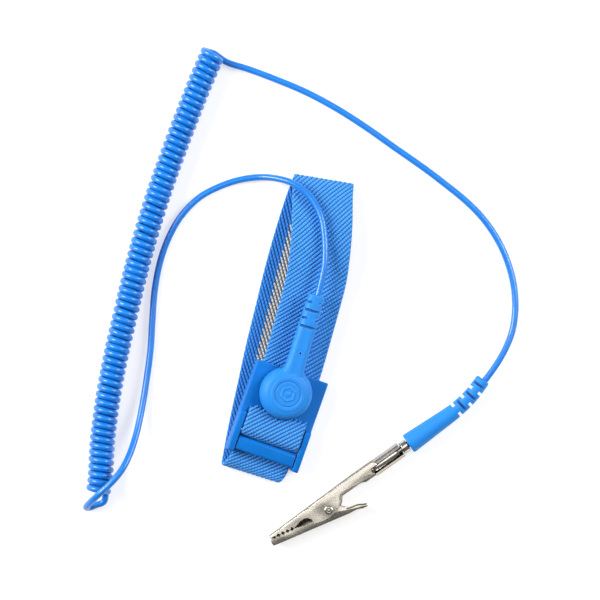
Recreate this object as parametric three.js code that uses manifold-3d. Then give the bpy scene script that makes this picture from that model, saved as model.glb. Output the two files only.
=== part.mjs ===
// ESD wrist strap: an elastic band in a clamp buckle, a press-stud lead with a curly cord, and a
// crocodile clip on a banana plug. Millimetres, +Z up, lying on a table. The origin is on the table
// under the middle of the snap head, and +Y runs along the buckle towards the lead.
import * as THREE from "three";
import { mergeVertices } from "three/addons/utils/BufferGeometryUtils.js";
import Module from "manifold-3d";

const wasm = await Module();
wasm.setup();

// ---- Driving dimensions -------------------------------------------------------------------------
const GAP = 0.3; // clearance between pieces that rest on or slide in each other
const DEG = Math.PI / 180;

const BAND_WIDTH = 20;
const BAND_THICKNESS = 1.2;
const BAND_FOLD_REACH = 4.8; // how far the lower fold stands out past the buckle

const BUCKLE_ROLL = 11 * DEG; // the buckle leans to its right on the folded band
const BUCKLE_LENGTH_HEAD = 7.55; // from the snap's axis to the edge that the lead leaves over
const BUCKLE_LENGTH_TAIL = 23.6; // from the snap's axis to the clamp's open end
const BUCKLE_OFFSET = 0.35; // the buckle's middle line, to the right of the snap's axis
const CHEEK_WIDTH = 2.05;
const CHEEK_RISE = 1.4; // cheek top above the deck
const CHEEK_LENGTH = 13.7;
const DECK_THICKNESS = 1.6;
const SKIRT_DEPTH = 3; // side walls below the deck
const RIB_THICKNESS = 1.6;

const PLATE_THICKNESS = 0.6; // steel plate against the skin
const PLATE_LENGTH = 13.5;
const POST_RADIUS = 0.7;
const STUD_BALL_RADIUS = 2; // the standard 4 mm snap
const STUD_NECK_RADIUS = 1.55;
const STUD_HEIGHT = 3.1;
const STUD_FLANGE_RADIUS = 4;
const STUD_FLANGE_THICKNESS = 0.4;

const DOOR_PIVOT_RADIUS = 1.5; // round back of the clamp door
const DOOR_LENGTH = 3.2; // from its pivot to its lip
const DOOR_THICKNESS = 1.4;
const TRUNNION_RADIUS = 0.8;
const TRUNNION_LENGTH = 1;

const HEAD_RADIUS = 8.7;
const HEAD_HEIGHT = 5.4;
const HEAD_DISC_RADIUS = 5.5;
const HEAD_SWIVEL = 2.5 * DEG;
const NECK_LENGTH = 33.75; // from the snap's axis to the cord
const NECK_HALF_WIDTH = 3.3;
const NECK_END_HALF_WIDTH = 2.8;
const NECK_HALF_HEIGHT = 2.55;
const RESISTOR_RADIUS = 1.15;
const RESISTOR_LENGTH = 6.3;
const WIRE_RADIUS = 0.3;
const MOULD_HOLE_RADIUS = 0.35;
const SOCKET_WALL = 0.4;
const SOCKET_RADIUS = 4.8;

const RELIEF_SLOT = 0.9; // width of a slot in a strain relief
const RELIEF_CORE = 1.3; // half of what a slot leaves

const CORD_DIAMETER = 2.2;
const COIL_DIAMETER = 8.6;

const PLUG_AXIS_HEIGHT = 3.75;
const PLUG_HEADING = 234.8 * DEG;
const BOOT_RADIUS = 3.45;
const BOOT_WAIST_RADIUS = 2.6;
const BOOT_END_RADIUS = 2.4;
const PIN_RADIUS = 1.1;
const PIN_LENGTH = 16; // from the boot's face to the nose
const COLLAR_RADIUS = 2.05;
const COLLAR_LENGTH = 2.4;
const LANTERN_RADIUS = 1.9; // the standard 4 mm plug, squeezed in its socket
const LANTERN_WALL = 0.25;

const SHEET = 0.5; // clip metal
const BARREL_WALL = 0.4;
const BARREL_LENGTH = 11.2;
const BARREL_SEAM = 1.9;
const UPPER_HALF_WIDTH = 3;
const RIVET_RADIUS = 1;
const RIVET_HOLE_RADIUS = 0.4;
const SPRING_WIRE_RADIUS = 0.3;
const SPRING_TURNS = 3;

// ---- Colours and finishes -----------------------------------------------------------------------
const finish = (color, roughness, metalness = 0) =>
  new THREE.MeshStandardMaterial({ color, roughness, metalness });
const WEBBING = () => finish(0x2f8fe6, 0.9);
const MOULDED_BLUE = () => finish(0x0f72d6, 0.5);
const SOFT_BLUE = () => finish(0x3b98ee, 0.55);
const CORD_BLUE = () => finish(0x1a84e4, 0.4);
const NICKEL = () => finish(0xc9c3b8, 0.3, 1);
const BRASS = () => finish(0xc8a050, 0.35, 1);
const CERAMIC = () => finish(0xb8a888, 0.6);

// ---- Solids -------------------------------------------------------------------------------------
// Turns a closed geometry into a solid for joining and cutting.
function solid(geometry) {
  const bare = new THREE.BufferGeometry();
  bare.setAttribute("position", geometry.getAttribute("position").clone());
  bare.setIndex(geometry.getIndex());
  const merged = mergeVertices(bare, 1e-4);
  const mesh = new wasm.Mesh({
    numProp: 3,
    vertProperties: new Float32Array(merged.getAttribute("position").array),
    triVerts: new Uint32Array(merged.getIndex().array),
  });
  return new wasm.Manifold(mesh);
}

// Turns a solid back into a geometry.
function surface(shape) {
  const mesh = shape.getMesh();
  const geometry = new THREE.BufferGeometry();
  geometry.setAttribute("position", new THREE.BufferAttribute(mesh.vertProperties, 3));
  geometry.setIndex(new THREE.BufferAttribute(mesh.triVerts, 1));
  return geometry;
}

function named(name, geometry, material) {
  const flat = geometry.getIndex() ? geometry.toNonIndexed() : geometry;
  flat.computeVertexNormals();
  const mesh = new THREE.Mesh(flat, material);
  mesh.name = name;
  return mesh;
}

// A box given by its lowest and highest corners.
function block(low, high) {
  const size = high.map((value, axis) => value - low[axis]);
  const centre = high.map((value, axis) => (value + low[axis]) / 2);
  return new THREE.BoxGeometry(...size).translate(...centre);
}

// A turned piece about Z from a profile of [radius, height] points.
function turned(profile, sides = 32) {
  const points = profile.map(([radius, height]) => new THREE.Vector2(radius, height));
  return new THREE.LatheGeometry(points, sides).rotateX(Math.PI / 2);
}

// A rod along Z.
function rod(radius, low, high, sides = 20) {
  const rodLength = high - low;
  const cylinder = new THREE.CylinderGeometry(radius, radius, rodLength, sides);
  return cylinder.rotateX(Math.PI / 2).translate(0, 0, (high + low) / 2);
}

// A flat outline of [x, y] points, raised from one height to another.
function plate(outline, low, high) {
  const shape = new THREE.Shape(outline.map(([x, y]) => new THREE.Vector2(x, y)));
  const options = { depth: high - low, bevelEnabled: false };
  return new THREE.ExtrudeGeometry(shape, options).translate(0, 0, low);
}

// A closed skin through rings that all have the same number of points.
function loft(rings) {
  const count = rings[0].length;
  const positions = rings.flat().flatMap((point) => point.toArray());
  const index = [];
  for (let ring = 0; ring + 1 < rings.length; ring++) {
    for (let side = 0; side < count; side++) {
      const next = (side + 1) % count;
      const a = ring * count + side;
      const b = ring * count + next;
      index.push(a, b, b + count);
      index.push(a, b + count, a + count);
    }
  }
  const last = (rings.length - 1) * count;
  for (let side = 1; side + 1 < count; side++) {
    index.push(0, side + 1, side);
    index.push(last, last + side, last + side + 1);
  }
  const geometry = new THREE.BufferGeometry();
  geometry.setAttribute("position", new THREE.Float32BufferAttribute(positions, 3));
  geometry.setIndex(index);
  return geometry;
}

// A round or oval ring across a path: half width sideways, half height upwards.
function ovalRing(centre, forward, halfWidth, halfHeight, sides) {
  const up = new THREE.Vector3(0, 0, 1);
  const side = new THREE.Vector3().crossVectors(up, forward).normalize();
  const rise = new THREE.Vector3().crossVectors(forward, side).normalize();
  return Array.from({ length: sides }, (_, i) => {
    const turn = (i / sides) * 2 * Math.PI;
    return centre
      .clone()
      .addScaledVector(side, halfWidth * Math.cos(turn))
      .addScaledVector(rise, halfHeight * Math.sin(turn));
  });
}

// A cord: a regular section swept along a smooth route.
function tube(points, diameter, sides, steps) {
  const route = new THREE.CatmullRomCurve3(points.map((point) => new THREE.Vector3(...point)), false);
  const section = new THREE.Shape(
    Array.from({ length: sides }, (_, i) => {
      const turn = (i / sides) * 2 * Math.PI;
      return new THREE.Vector2(Math.cos(turn), Math.sin(turn)).multiplyScalar(diameter / 2);
    }),
  );
  return new THREE.ExtrudeGeometry(section, { steps, extrudePath: route, bevelEnabled: false });
}

// ---- Heights in the buckle, up its own axis -------------------------------------------------------
const halfOpening = BAND_WIDTH / 2 + GAP + 0.05;
const halfBuckle = halfOpening + CHEEK_WIDTH;
const buckleRight = BUCKLE_OFFSET + halfBuckle;
const skirtBottom = (GAP + buckleRight * Math.sin(BUCKLE_ROLL)) / Math.cos(BUCKLE_ROLL);
const deckBottom = skirtBottom + SKIRT_DEPTH;
const deckTop = deckBottom + DECK_THICKNESS;
const cheekTop = deckTop + CHEEK_RISE;
const bandEndTop = deckBottom - GAP;
const bandEndMiddle = bandEndTop - BAND_THICKNESS / 2;
const plateTop = bandEndTop - BAND_THICKNESS - GAP;
const plateBottom = plateTop - PLATE_THICKNESS;
const studBottom = deckTop + GAP;
const studTop = studBottom + STUD_HEIGHT;
const headBottom = deckTop + 0.4;
const headTop = headBottom + HEAD_HEIGHT;
const neckHeight = headBottom + NECK_HALF_HEIGHT + 0.1;
const pivotAt = -(BUCKLE_LENGTH_TAIL - DOOR_LENGTH - 1.1); // door pivot, along the buckle
const pivotHeight = cheekTop - GAP - DOOR_PIVOT_RADIUS;
const underDoor = pivotHeight - DOOR_PIVOT_RADIUS - GAP - BAND_THICKNESS / 2; // band's middle there
const slotMiddle = pivotAt + DOOR_PIVOT_RADIUS + GAP + BAND_THICKNESS / 2; // where the band comes up
const deckEdge = slotMiddle + BAND_THICKNESS / 2 + 0.7;

const buckle = new THREE.Group();
buckle.rotation.y = BUCKLE_ROLL;
buckle.position.x = -headTop * Math.sin(BUCKLE_ROLL); // brings the head's top over the origin
buckle.updateMatrix();
const fromBuckle = (across, along, up) =>
  new THREE.Vector3(across, along, up).applyMatrix4(buckle.matrix);

// ---- Buckle -------------------------------------------------------------------------------------
function buckleFrame() {
  const left = BUCKLE_OFFSET - halfBuckle;
  const right = buckleRight;
  const tail = -BUCKLE_LENGTH_TAIL;
  const head = BUCKLE_LENGTH_HEAD;
  const innerLeft = BUCKLE_OFFSET - halfOpening;
  const innerRight = BUCKLE_OFFSET + halfOpening;
  let body = solid(block([left, deckEdge, deckBottom], [right, head, deckTop]));
  const cheekEnd = tail + CHEEK_LENGTH;
  const cheek = [
    [tail, skirtBottom + 0.6],
    [tail + 0.6, skirtBottom],
    [head - 0.6, skirtBottom],
    [head, skirtBottom + 0.6],
    [head, deckTop],
    [cheekEnd + 0.4, deckTop],
    [cheekEnd, cheekTop - 0.3],
    [cheekEnd - 0.6, cheekTop],
    [tail + 0.9, cheekTop],
    [tail, cheekTop - 0.9],
  ];
  // The outline lies in the buckle's long section, so it is raised sideways.
  const wall = (low, high) => plate(cheek, low, high).rotateX(Math.PI / 2).rotateZ(Math.PI / 2);
  body = body.add(solid(wall(left, innerLeft)));
  body = body.add(solid(wall(innerRight, right)));
  const ribBottom = skirtBottom + 0.5;
  const rib = block([left + 1, deckEdge, ribBottom], [right - 1, deckEdge + RIB_THICKNESS, deckTop - 0.5]);
  body = body.add(solid(rib));
  const socketReach = TRUNNION_LENGTH + GAP;
  for (const [from, to] of [
    [innerLeft - socketReach, innerLeft + 1],
    [innerRight - 1, innerRight + socketReach],
  ]) {
    const socket = rod(TRUNNION_RADIUS + GAP, from, to, 16).rotateY(Math.PI / 2);
    body = body.subtract(solid(socket.translate(0, pivotAt, pivotHeight)));
  }
  const hole = rod(POST_RADIUS + GAP, deckBottom - 1, deckTop + 1, 16);
  return surface(body.subtract(solid(hole)));
}

function clampDoor() {
  const halfDoor = halfOpening - GAP;
  const top = pivotHeight + DOOR_PIVOT_RADIUS;
  const nose = DOOR_THICKNESS / 2;
  const outline = [];
  const arc = (along, up, radius, from, to, steps) => {
    for (let i = 0; i <= steps; i++) {
      const turn = (from + ((to - from) * i) / steps) * DEG;
      outline.push([along + radius * Math.cos(turn), up + radius * Math.sin(turn)]);
    }
  };
  arc(pivotAt, pivotHeight, DOOR_PIVOT_RADIUS, -120, 90, 12);
  arc(pivotAt - DOOR_LENGTH + nose, top - nose, nose, 90, 270, 6);
  const low = BUCKLE_OFFSET - halfDoor;
  const high = BUCKLE_OFFSET + halfDoor;
  const door = solid(plate(outline, low, high).rotateX(Math.PI / 2).rotateZ(Math.PI / 2));
  const reach = halfDoor + TRUNNION_LENGTH;
  const stubs = rod(TRUNNION_RADIUS, BUCKLE_OFFSET - reach, BUCKLE_OFFSET + reach, 16).rotateY(Math.PI / 2);
  return surface(door.add(solid(stubs.translate(0, pivotAt, pivotHeight))));
}

function skinPlate() {
  const half = halfOpening - GAP - 1;
  const end = BUCKLE_LENGTH_HEAD - 0.9;
  const start = end - PLATE_LENGTH;
  const corner = 2;
  const outline = [
    [-half + corner, start],
    [half - corner, start],
    [half, start + corner],
    [half, end - corner],
    [half - corner, end],
    [-half + corner, end],
    [-half, end - corner],
    [-half, start + corner],
  ];
  const hole = rod(POST_RADIUS + GAP, plateBottom - 1, plateTop + 1, 16);
  return surface(solid(plate(outline, plateBottom, plateTop)).subtract(solid(hole)));
}

function studPost() {
  const flangeTop = plateBottom - GAP;
  const flangeBottom = flangeTop - 0.3;
  const tip = studTop - SOCKET_WALL - GAP;
  return turned([
    [0, flangeBottom],
    [3, flangeBottom],
    [3, flangeTop],
    [POST_RADIUS, flangeTop],
    [POST_RADIUS, tip],
    [0, tip],
  ]);
}

function snapStud() {
  const bore = POST_RADIUS + GAP;
  const flangeTop = studBottom + STUD_FLANGE_THICKNESS;
  const ball = studTop - 1.1; // widest point of the ball
  return turned([
    [bore, studBottom],
    [STUD_FLANGE_RADIUS, studBottom],
    [STUD_FLANGE_RADIUS, flangeTop],
    [STUD_NECK_RADIUS, flangeTop],
    [STUD_NECK_RADIUS, ball - 0.7],
    [STUD_BALL_RADIUS, ball],
    [STUD_BALL_RADIUS - 0.25, ball + 0.6],
    [STUD_BALL_RADIUS - 0.9, studTop],
    [0, studTop],
    [0, studTop - SOCKET_WALL],
    [bore, studTop - SOCKET_WALL],
    [bore, studBottom],
  ]);
}

// ---- Band ---------------------------------------------------------------------------------------
// Stations down the band's middle: [x, y, height, turn, lean]. turn swings it about the vertical and
// lean lowers its right edge, in degrees.
function bandStations() {
  const onTable = BAND_THICKNESS / 2;
  const roll = BUCKLE_ROLL / DEG;
  const foldEnd = -(BUCKLE_LENGTH_TAIL + BAND_FOLD_REACH);
  const inBuckle = (across, along, up) => [...fromBuckle(across, along, up).toArray(), 0, roll];
  const clampPath = [
    [-BUCKLE_LENGTH_TAIL, underDoor],
    [pivotAt - 0.7, underDoor],
    [slotMiddle - 1.4, underDoor + 0.1],
    [slotMiddle - 0.3, underDoor + 0.8],
    [slotMiddle, pivotHeight - 0.4],
    [slotMiddle + 0.35, deckTop + 0.5],
    [slotMiddle + 1.25, deckTop + 1.25],
    [slotMiddle + 3, deckTop + 1.35],
    [slotMiddle + 5.5, deckTop + 1.2],
    [-HEAD_RADIUS - 0.4, deckTop + 1],
  ];
  return [
    inBuckle(0, -HEAD_RADIUS, bandEndMiddle),
    inBuckle(0, 0, bandEndMiddle),
    inBuckle(0, BUCKLE_LENGTH_HEAD, bandEndMiddle),
    [-1.9, 14, 4.9, 3, roll],
    [-2.3, 20, 5, 4, roll],
    [-3, 30, 5.3, 7, 10],
    [-3.9, 39.3, 6.5, 9, 8],
    [-5.6, 47.4, 7.5, 12, 6],
    [-7.8, 55.5, 7.2, 15, 4],
    [-9.8, 61.6, 5.7, 15, 3],
    [-11.3, 66.1, 4.1, 13, 1],
    [-12.1, 69.1, 3.1, 11, 0],
    [-12.4, 70.3, 2, 10, 0],
    [-12.3, 69.5, 1.05, 8, 0],
    [-12.3, 67, 0.62, 6, 0],
    [-12.4, 62, onTable, 4, 0],
    [-12, 50, onTable, 4, 0],
    [-11.2, 38, onTable, 5, 0],
    [-9.9, 25, onTable, 6, 0],
    [-8.5, 11, onTable, 7, 0],
    [-7.1, 0, onTable, 7, 0],
    [-5.6, -12, onTable, 7, 0],
    [-4.3, foldEnd + 7.4, onTable, 6, 0],
    [-3.5, foldEnd + 2.4, 0.8, 5, 0],
    [-3.2, foldEnd + 0.4, 1.6, 3, 0],
    [-3, foldEnd - 0.1, 2.6, 2, 2],
    [-2.6, foldEnd + 0.3, 3.5, 1, 5],
    [-1.9, foldEnd + 1.6, 4.2, 0, 10],
    ...clampPath.map(([along, up]) => inBuckle(BUCKLE_OFFSET, along, up)),
  ];
}

function band() {
  const stations = bandStations();
  const spline = (points) => new THREE.CatmullRomCurve3(points, false, "centripetal");
  const middle = spline(stations.map(([x, y, z]) => new THREE.Vector3(x, y, z)));
  const acrossAt = spline(
    stations.map(([, , , turn, lean]) => {
      const level = Math.cos(lean * DEG);
      const x = level * Math.cos(turn * DEG);
      return new THREE.Vector3(x, level * Math.sin(turn * DEG), -Math.sin(lean * DEG));
    }),
  );
  const perStation = 3;
  const count = (stations.length - 1) * perStation;
  const rest = BAND_THICKNESS / 2;
  const centres = [];
  for (let i = 0; i <= count; i++) {
    const point = middle.getPoint(i / count);
    point.z = Math.max(point.z, rest); // the table holds it up
    centres.push(point);
  }
  const rings = centres.map((centre, i) => {
    const before = centres[Math.max(i - 1, 0)];
    const after = centres[Math.min(i + 1, count)];
    const forward = new THREE.Vector3().subVectors(after, before).normalize();
    const across = acrossAt.getPoint(i / count);
    if (centre.z === rest) across.z = 0;
    const side = across.normalize(); // the weave shears a little where the path is not square to it
    const normal = new THREE.Vector3().crossVectors(side, forward).normalize();
    const corner = (sideways, upwards) =>
      centre
        .clone()
        .addScaledVector(side, (sideways * BAND_WIDTH) / 2)
        .addScaledVector(normal, (upwards * BAND_THICKNESS) / 2);
    const corners = [corner(-1, -1), corner(-1, 1), corner(1, 1), corner(1, -1)];
    const sunk = Math.min(0, ...corners.map((point) => point.z));
    corners.forEach((point) => (point.z -= sunk)); // a low edge stands on the table too
    return corners;
  });
  const hole = rod(POST_RADIUS + 2 * GAP, plateTop, deckBottom, 16).applyMatrix4(buckle.matrix);
  return surface(solid(loft(rings)).subtract(solid(hole)));
}

// ---- Snap head, in the buckle's own axes ---------------------------------------------------------
const socketBottom = studBottom + STUD_FLANGE_THICKNESS + GAP;
const socketBore = STUD_BALL_RADIUS + 0.4;
const socketGroove = socketBore + 0.5;
const socketOutside = socketGroove + SOCKET_WALL;
const socketTop = studTop + GAP + SOCKET_WALL;
const grooveLow = socketBottom + 0.7;
const grooveHigh = grooveLow + 0.8;
const resistorMiddle = 15.4; // along the neck
const cavityEnd = 21.3;

function reliefCuts(place, count, fullFirst) {
  const reach = 5;
  let cuts = null;
  for (let i = 0; i < count; i++) {
    const full = i % 2 === (fullFirst ? 0 : 1);
    for (const sign of [-1, 1]) {
      const near = sign * RELIEF_CORE;
      const far = sign * reach;
      const low = Math.min(near, far);
      const high = Math.max(near, far);
      const half = RELIEF_SLOT / 2;
      const cutter = full
        ? block([-half, -reach, low], [half, reach, high])
        : block([-half, low, -reach], [half, high, reach]);
      const placed = solid(cutter.applyMatrix4(place(i)));
      cuts = cuts ? cuts.add(placed) : placed;
    }
  }
  return cuts;
}

function snapCap() {
  const rim = headBottom + 1.5;
  const dome = turned(
    [
      [0, headBottom],
      [HEAD_RADIUS - 0.3, headBottom],
      [HEAD_RADIUS, headBottom + 0.3],
      [HEAD_RADIUS, rim],
      [HEAD_RADIUS - 0.4, rim + 1.4],
      [HEAD_RADIUS - 1.4, rim + 2.8],
      [HEAD_DISC_RADIUS + 0.5, headTop - 0.2],
      [HEAD_DISC_RADIUS, headTop],
      [0, headTop],
    ],
    40,
  );
  const forward = new THREE.Vector3(0, 1, 0);
  const neckStart = HEAD_RADIUS - 4;
  const rings = [0, 0.25, 0.5, 0.75, 1].map((share) => {
    const centre = new THREE.Vector3(0, neckStart + (NECK_LENGTH - neckStart) * share, neckHeight);
    const halfWidth = NECK_HALF_WIDTH + (NECK_END_HALF_WIDTH - NECK_HALF_WIDTH) * share;
    return ovalRing(centre, forward, halfWidth, NECK_HALF_HEIGHT, 16);
  });
  const slotPitch = 2.75;
  const firstSlot = NECK_LENGTH - 2.6;
  const place = (i) => {
    const turn = new THREE.Matrix4().makeRotationZ(Math.PI / 2);
    return turn.setPosition(0, firstSlot - i * slotPitch, neckHeight);
  };
  const ring = turned([
    [0, headBottom - 1],
    [SOCKET_RADIUS + GAP, headBottom - 1],
    [SOCKET_RADIUS + GAP, socketBottom + SOCKET_WALL + GAP],
    [socketOutside + GAP, socketBottom + SOCKET_WALL + GAP],
    [socketOutside + GAP, socketTop + GAP],
    [0, socketTop + GAP],
  ]);
  const channel = rod(RESISTOR_RADIUS + GAP, 0, cavityEnd, 16).rotateX(-Math.PI / 2);
  const mouldHole = rod(MOULD_HOLE_RADIUS, neckHeight, headTop + 2, 8);
  const cap = solid(dome)
    .add(solid(loft(rings)))
    .subtract(solid(ring))
    .subtract(solid(channel.translate(0, 0, neckHeight)))
    .subtract(solid(mouldHole.translate(0, 14, 0)))
    .subtract(reliefCuts(place, 4, false));
  return surface(cap);
}

function snapSocket() {
  const flangeTop = socketBottom + SOCKET_WALL;
  return turned([
    [socketBore, socketBottom],
    [SOCKET_RADIUS, socketBottom],
    [SOCKET_RADIUS, flangeTop],
    [socketOutside, flangeTop],
    [socketOutside, socketTop],
    [0, socketTop],
    [0, socketTop - SOCKET_WALL],
    [socketBore, socketTop - SOCKET_WALL],
    [socketBore, grooveHigh],
    [socketGroove, grooveHigh],
    [socketGroove, grooveLow],
    [socketBore, grooveLow],
    [socketBore, socketBottom],
  ]);
}

// A split ring in the socket's groove that grips the stud's neck.
function socketSpring() {
  const wire = 0.18;
  const radius = STUD_BALL_RADIUS + 0.2 + wire;
  const height = (grooveLow + grooveHigh) / 2;
  const opening = 40;
  const points = [];
  for (let turn = opening / 2; turn <= 360 - opening / 2; turn += 20) {
    points.push([radius * Math.cos(turn * DEG), radius * Math.sin(turn * DEG), height]);
  }
  return tube(points, 2 * wire, 6, 32);
}

function resistorBody() {
  const half = RESISTOR_LENGTH / 2;
  const waist = RESISTOR_RADIUS - 0.2;
  const bead = turned(
    [
      [0, -half],
      [RESISTOR_RADIUS - 0.3, -half],
      [RESISTOR_RADIUS, -half + 0.4],
      [RESISTOR_RADIUS, -half + 1.4],
      [waist, -half + 1.8],
      [waist, half - 1.8],
      [RESISTOR_RADIUS, half - 1.4],
      [RESISTOR_RADIUS, half - 0.4],
      [RESISTOR_RADIUS - 0.3, half],
      [0, half],
    ],
    16,
  );
  return bead.rotateX(-Math.PI / 2).translate(0, resistorMiddle, neckHeight);
}

function resistorWire(from, to) {
  return rod(WIRE_RADIUS, from, to, 8).rotateX(-Math.PI / 2).translate(0, 0, neckHeight);
}

// ---- Cord ---------------------------------------------------------------------------------------
// From the head's strain relief over the band, down to the table, over the coil's end and under it.
const LEAD_ROUTE = [
  [-1.6, 34.1, 10.4],
  [-2.1, 39, 10.4],
  [-3, 44.5, 10.3],
  [-5.5, 51.6, 9.8],
  [-9.2, 58.4, 8.9],
  [-15, 63.6, 7.7],
  [-21.3, 65.7, 6.5],
  [-26.7, 65.6, 4.6],
  [-32.4, 64.2, 2.3],
  [-38.3, 61.3, 1.3],
  [-43.9, 57, 1.2],
  [-49, 51.4, 1.2],
  [-52.6, 44, 1.2],
  [-54.2, 36, 1.2],
  [-54.3, 27.5, 1.2],
  [-52.9, 17.8, 1.2],
  [-50.3, 8, 1.2],
  [-47.6, -1.5, 1.2],
  [-45.5, -11.3, 1.4],
  [-43.7, -21.1, 2.6],
  [-42.6, -29.5, 5],
  [-42.4, -36.4, 8],
  [-43.2, -42, 10.1],
  [-45, -46.8, 10.8],
  [-47.4, -51.4, 10.3],
  [-49.4, -55.2, 7],
  [-50.2, -57.3, 3.5],
  [-49.4, -57.4, 1.5],
  [-47.6, -55.8, 1.2],
  [-45.4, -54.1, 1.2],
];

const COIL_ROUTE = [
  [-60.6, 97.6],
  [-61.3, 88],
  [-61.8, 75],
  [-62.1, 61.5],
  [-62.1, 48],
  [-61.6, 34],
  [-60.6, 20.2],
  [-59.2, 7],
  [-57.6, -7],
  [-55.4, -21],
  [-52.4, -35],
  [-49.6, -44.5],
  [-47.6, -51],
];

// From the coil's top, along the table, to the plug's strain relief.
const CLIP_ROUTE = [
  [-55.6, 96.3, 1.2],
  [-48, 96.5, 1.2],
  [-38, 96.3, 1.2],
  [-27.9, 95.7, 1.2],
  [-16.6, 94, 1.2],
  [-5.3, 91.4, 1.2],
  [6.4, 88.1, 1.2],
  [17.9, 84.9, 1.2],
  [26.3, 82.2, 1.2],
  [33.6, 79.6, 1.2],
  [40, 76.6, 1.2],
  [45.4, 73.1, 1.2],
  [50, 69.2, 1.2],
  [53.8, 65, 1.2],
  [57.2, 60.2, 1.2],
  [59.9, 55, 1.2],
  [61.8, 49.5, 1.3],
  [62.8, 43.5, 1.7],
  [62.5, 37.3, 2.6],
  [61.4, 31.7, 3.4],
  [59.7, 26.1, 3.75],
];

// ---- Plug, along its own axis: +X from the boot's face to the clip's jaws ---------------------------
const plugLine = new THREE.Group();
plugLine.position.set(42.8, -2.4, PLUG_AXIS_HEIGHT);
plugLine.rotation.z = PLUG_HEADING;
const alongPlug = (geometry) => geometry.rotateY(Math.PI / 2);

function clipBoot() {
  const line = new THREE.CatmullRomCurve3(
    [
      [0, 0],
      [-9.6, 0],
      [-19.1, -0.1],
      [-26, -1.1],
      [-32.4, -3.1],
    ].map(([x, y]) => new THREE.Vector3(x, y, 0)),
  );
  const waist = 19.1;
  const total = line.getLength();
  const radiusAt = (run) => {
    const front = BOOT_RADIUS + ((BOOT_WAIST_RADIUS - BOOT_RADIUS) * run) / waist;
    const back = (BOOT_END_RADIUS - BOOT_WAIST_RADIUS) * ((run - waist) / (total - waist));
    return run < waist ? front : BOOT_WAIST_RADIUS + back;
  };
  const stations = 10;
  const rings = Array.from({ length: stations + 1 }, (_, i) => {
    const share = i / stations;
    const radius = radiusAt(share * total);
    return ovalRing(line.getPointAt(share), line.getTangentAt(share), radius, radius, 18);
  });
  const pitch = 2.2;
  const place = (i) => {
    const share = 1 - (2.3 + i * pitch) / total;
    const heading = line.getTangentAt(share);
    const turn = new THREE.Matrix4().makeRotationZ(Math.atan2(heading.y, heading.x));
    return turn.setPosition(line.getPointAt(share));
  };
  const bore = alongPlug(rod(PIN_RADIUS + GAP, -8, 1));
  return surface(solid(loft(rings)).subtract(reliefCuts(place, 6, true)).subtract(solid(bore)));
}

function plugPin() {
  const nose = LANTERN_RADIUS - 0.2;
  const tail = -7.6;
  return alongPlug(
    turned(
      [
        [0, tail],
        [PIN_RADIUS, tail],
        [PIN_RADIUS, GAP],
        [COLLAR_RADIUS, GAP],
        [COLLAR_RADIUS, GAP + COLLAR_LENGTH],
        [PIN_RADIUS, GAP + COLLAR_LENGTH],
        [PIN_RADIUS, PIN_LENGTH - 2],
        [nose, PIN_LENGTH - 2],
        [nose, PIN_LENGTH - 0.8],
        [0, PIN_LENGTH],
      ],
      24,
    ),
  );
}

function plugSpring() {
  const start = GAP + COLLAR_LENGTH + 1.5;
  const end = PIN_LENGTH - 2 - GAP;
  const bore = PIN_RADIUS + GAP;
  const slim = bore + LANTERN_WALL;
  const swell = 2;
  const belly = LANTERN_RADIUS - LANTERN_WALL;
  const sleeve = turned(
    [
      [bore, start],
      [slim, start],
      [LANTERN_RADIUS, start + swell],
      [LANTERN_RADIUS, end - swell],
      [slim, end],
      [bore, end],
      [belly, end - swell],
      [belly, start + swell],
      [bore, start],
    ],
    24,
  );
  let spring = solid(alongPlug(sleeve));
  for (const turn of [45, 135]) {
    const slot = block([start + 1, -3, -0.2], [end - 1, 3, 0.2]).rotateX(turn * DEG);
    spring = spring.subtract(solid(slot));
  }
  return surface(spring);
}

// ---- Clip ---------------------------------------------------------------------------------------
const barrelStart = 2 * GAP + COLLAR_LENGTH;
const barrelBore = LANTERN_RADIUS + GAP;
const barrelRadius = barrelBore + BARREL_WALL;
const barrelEnd = barrelStart + BARREL_LENGTH;
const lowerHalfWidth = UPPER_HALF_WIDTH - SHEET - GAP;
const rivetAt = [33.9, 2.5];
const jawTip = 55.2;

// Saw teeth between two points, each a shallow notch.
function teeth([x0, y0], [x1, y1], count, depth) {
  const points = [];
  for (let i = 0; i < count; i++) {
    const at = (share) => [x0 + ((x1 - x0) * (i + share)) / count, y0 + ((y1 - y0) * (i + share)) / count];
    const [mx, my] = at(0.55);
    points.push(at(0.1), [mx, my + depth], at(0.95));
  }
  return points;
}

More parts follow.
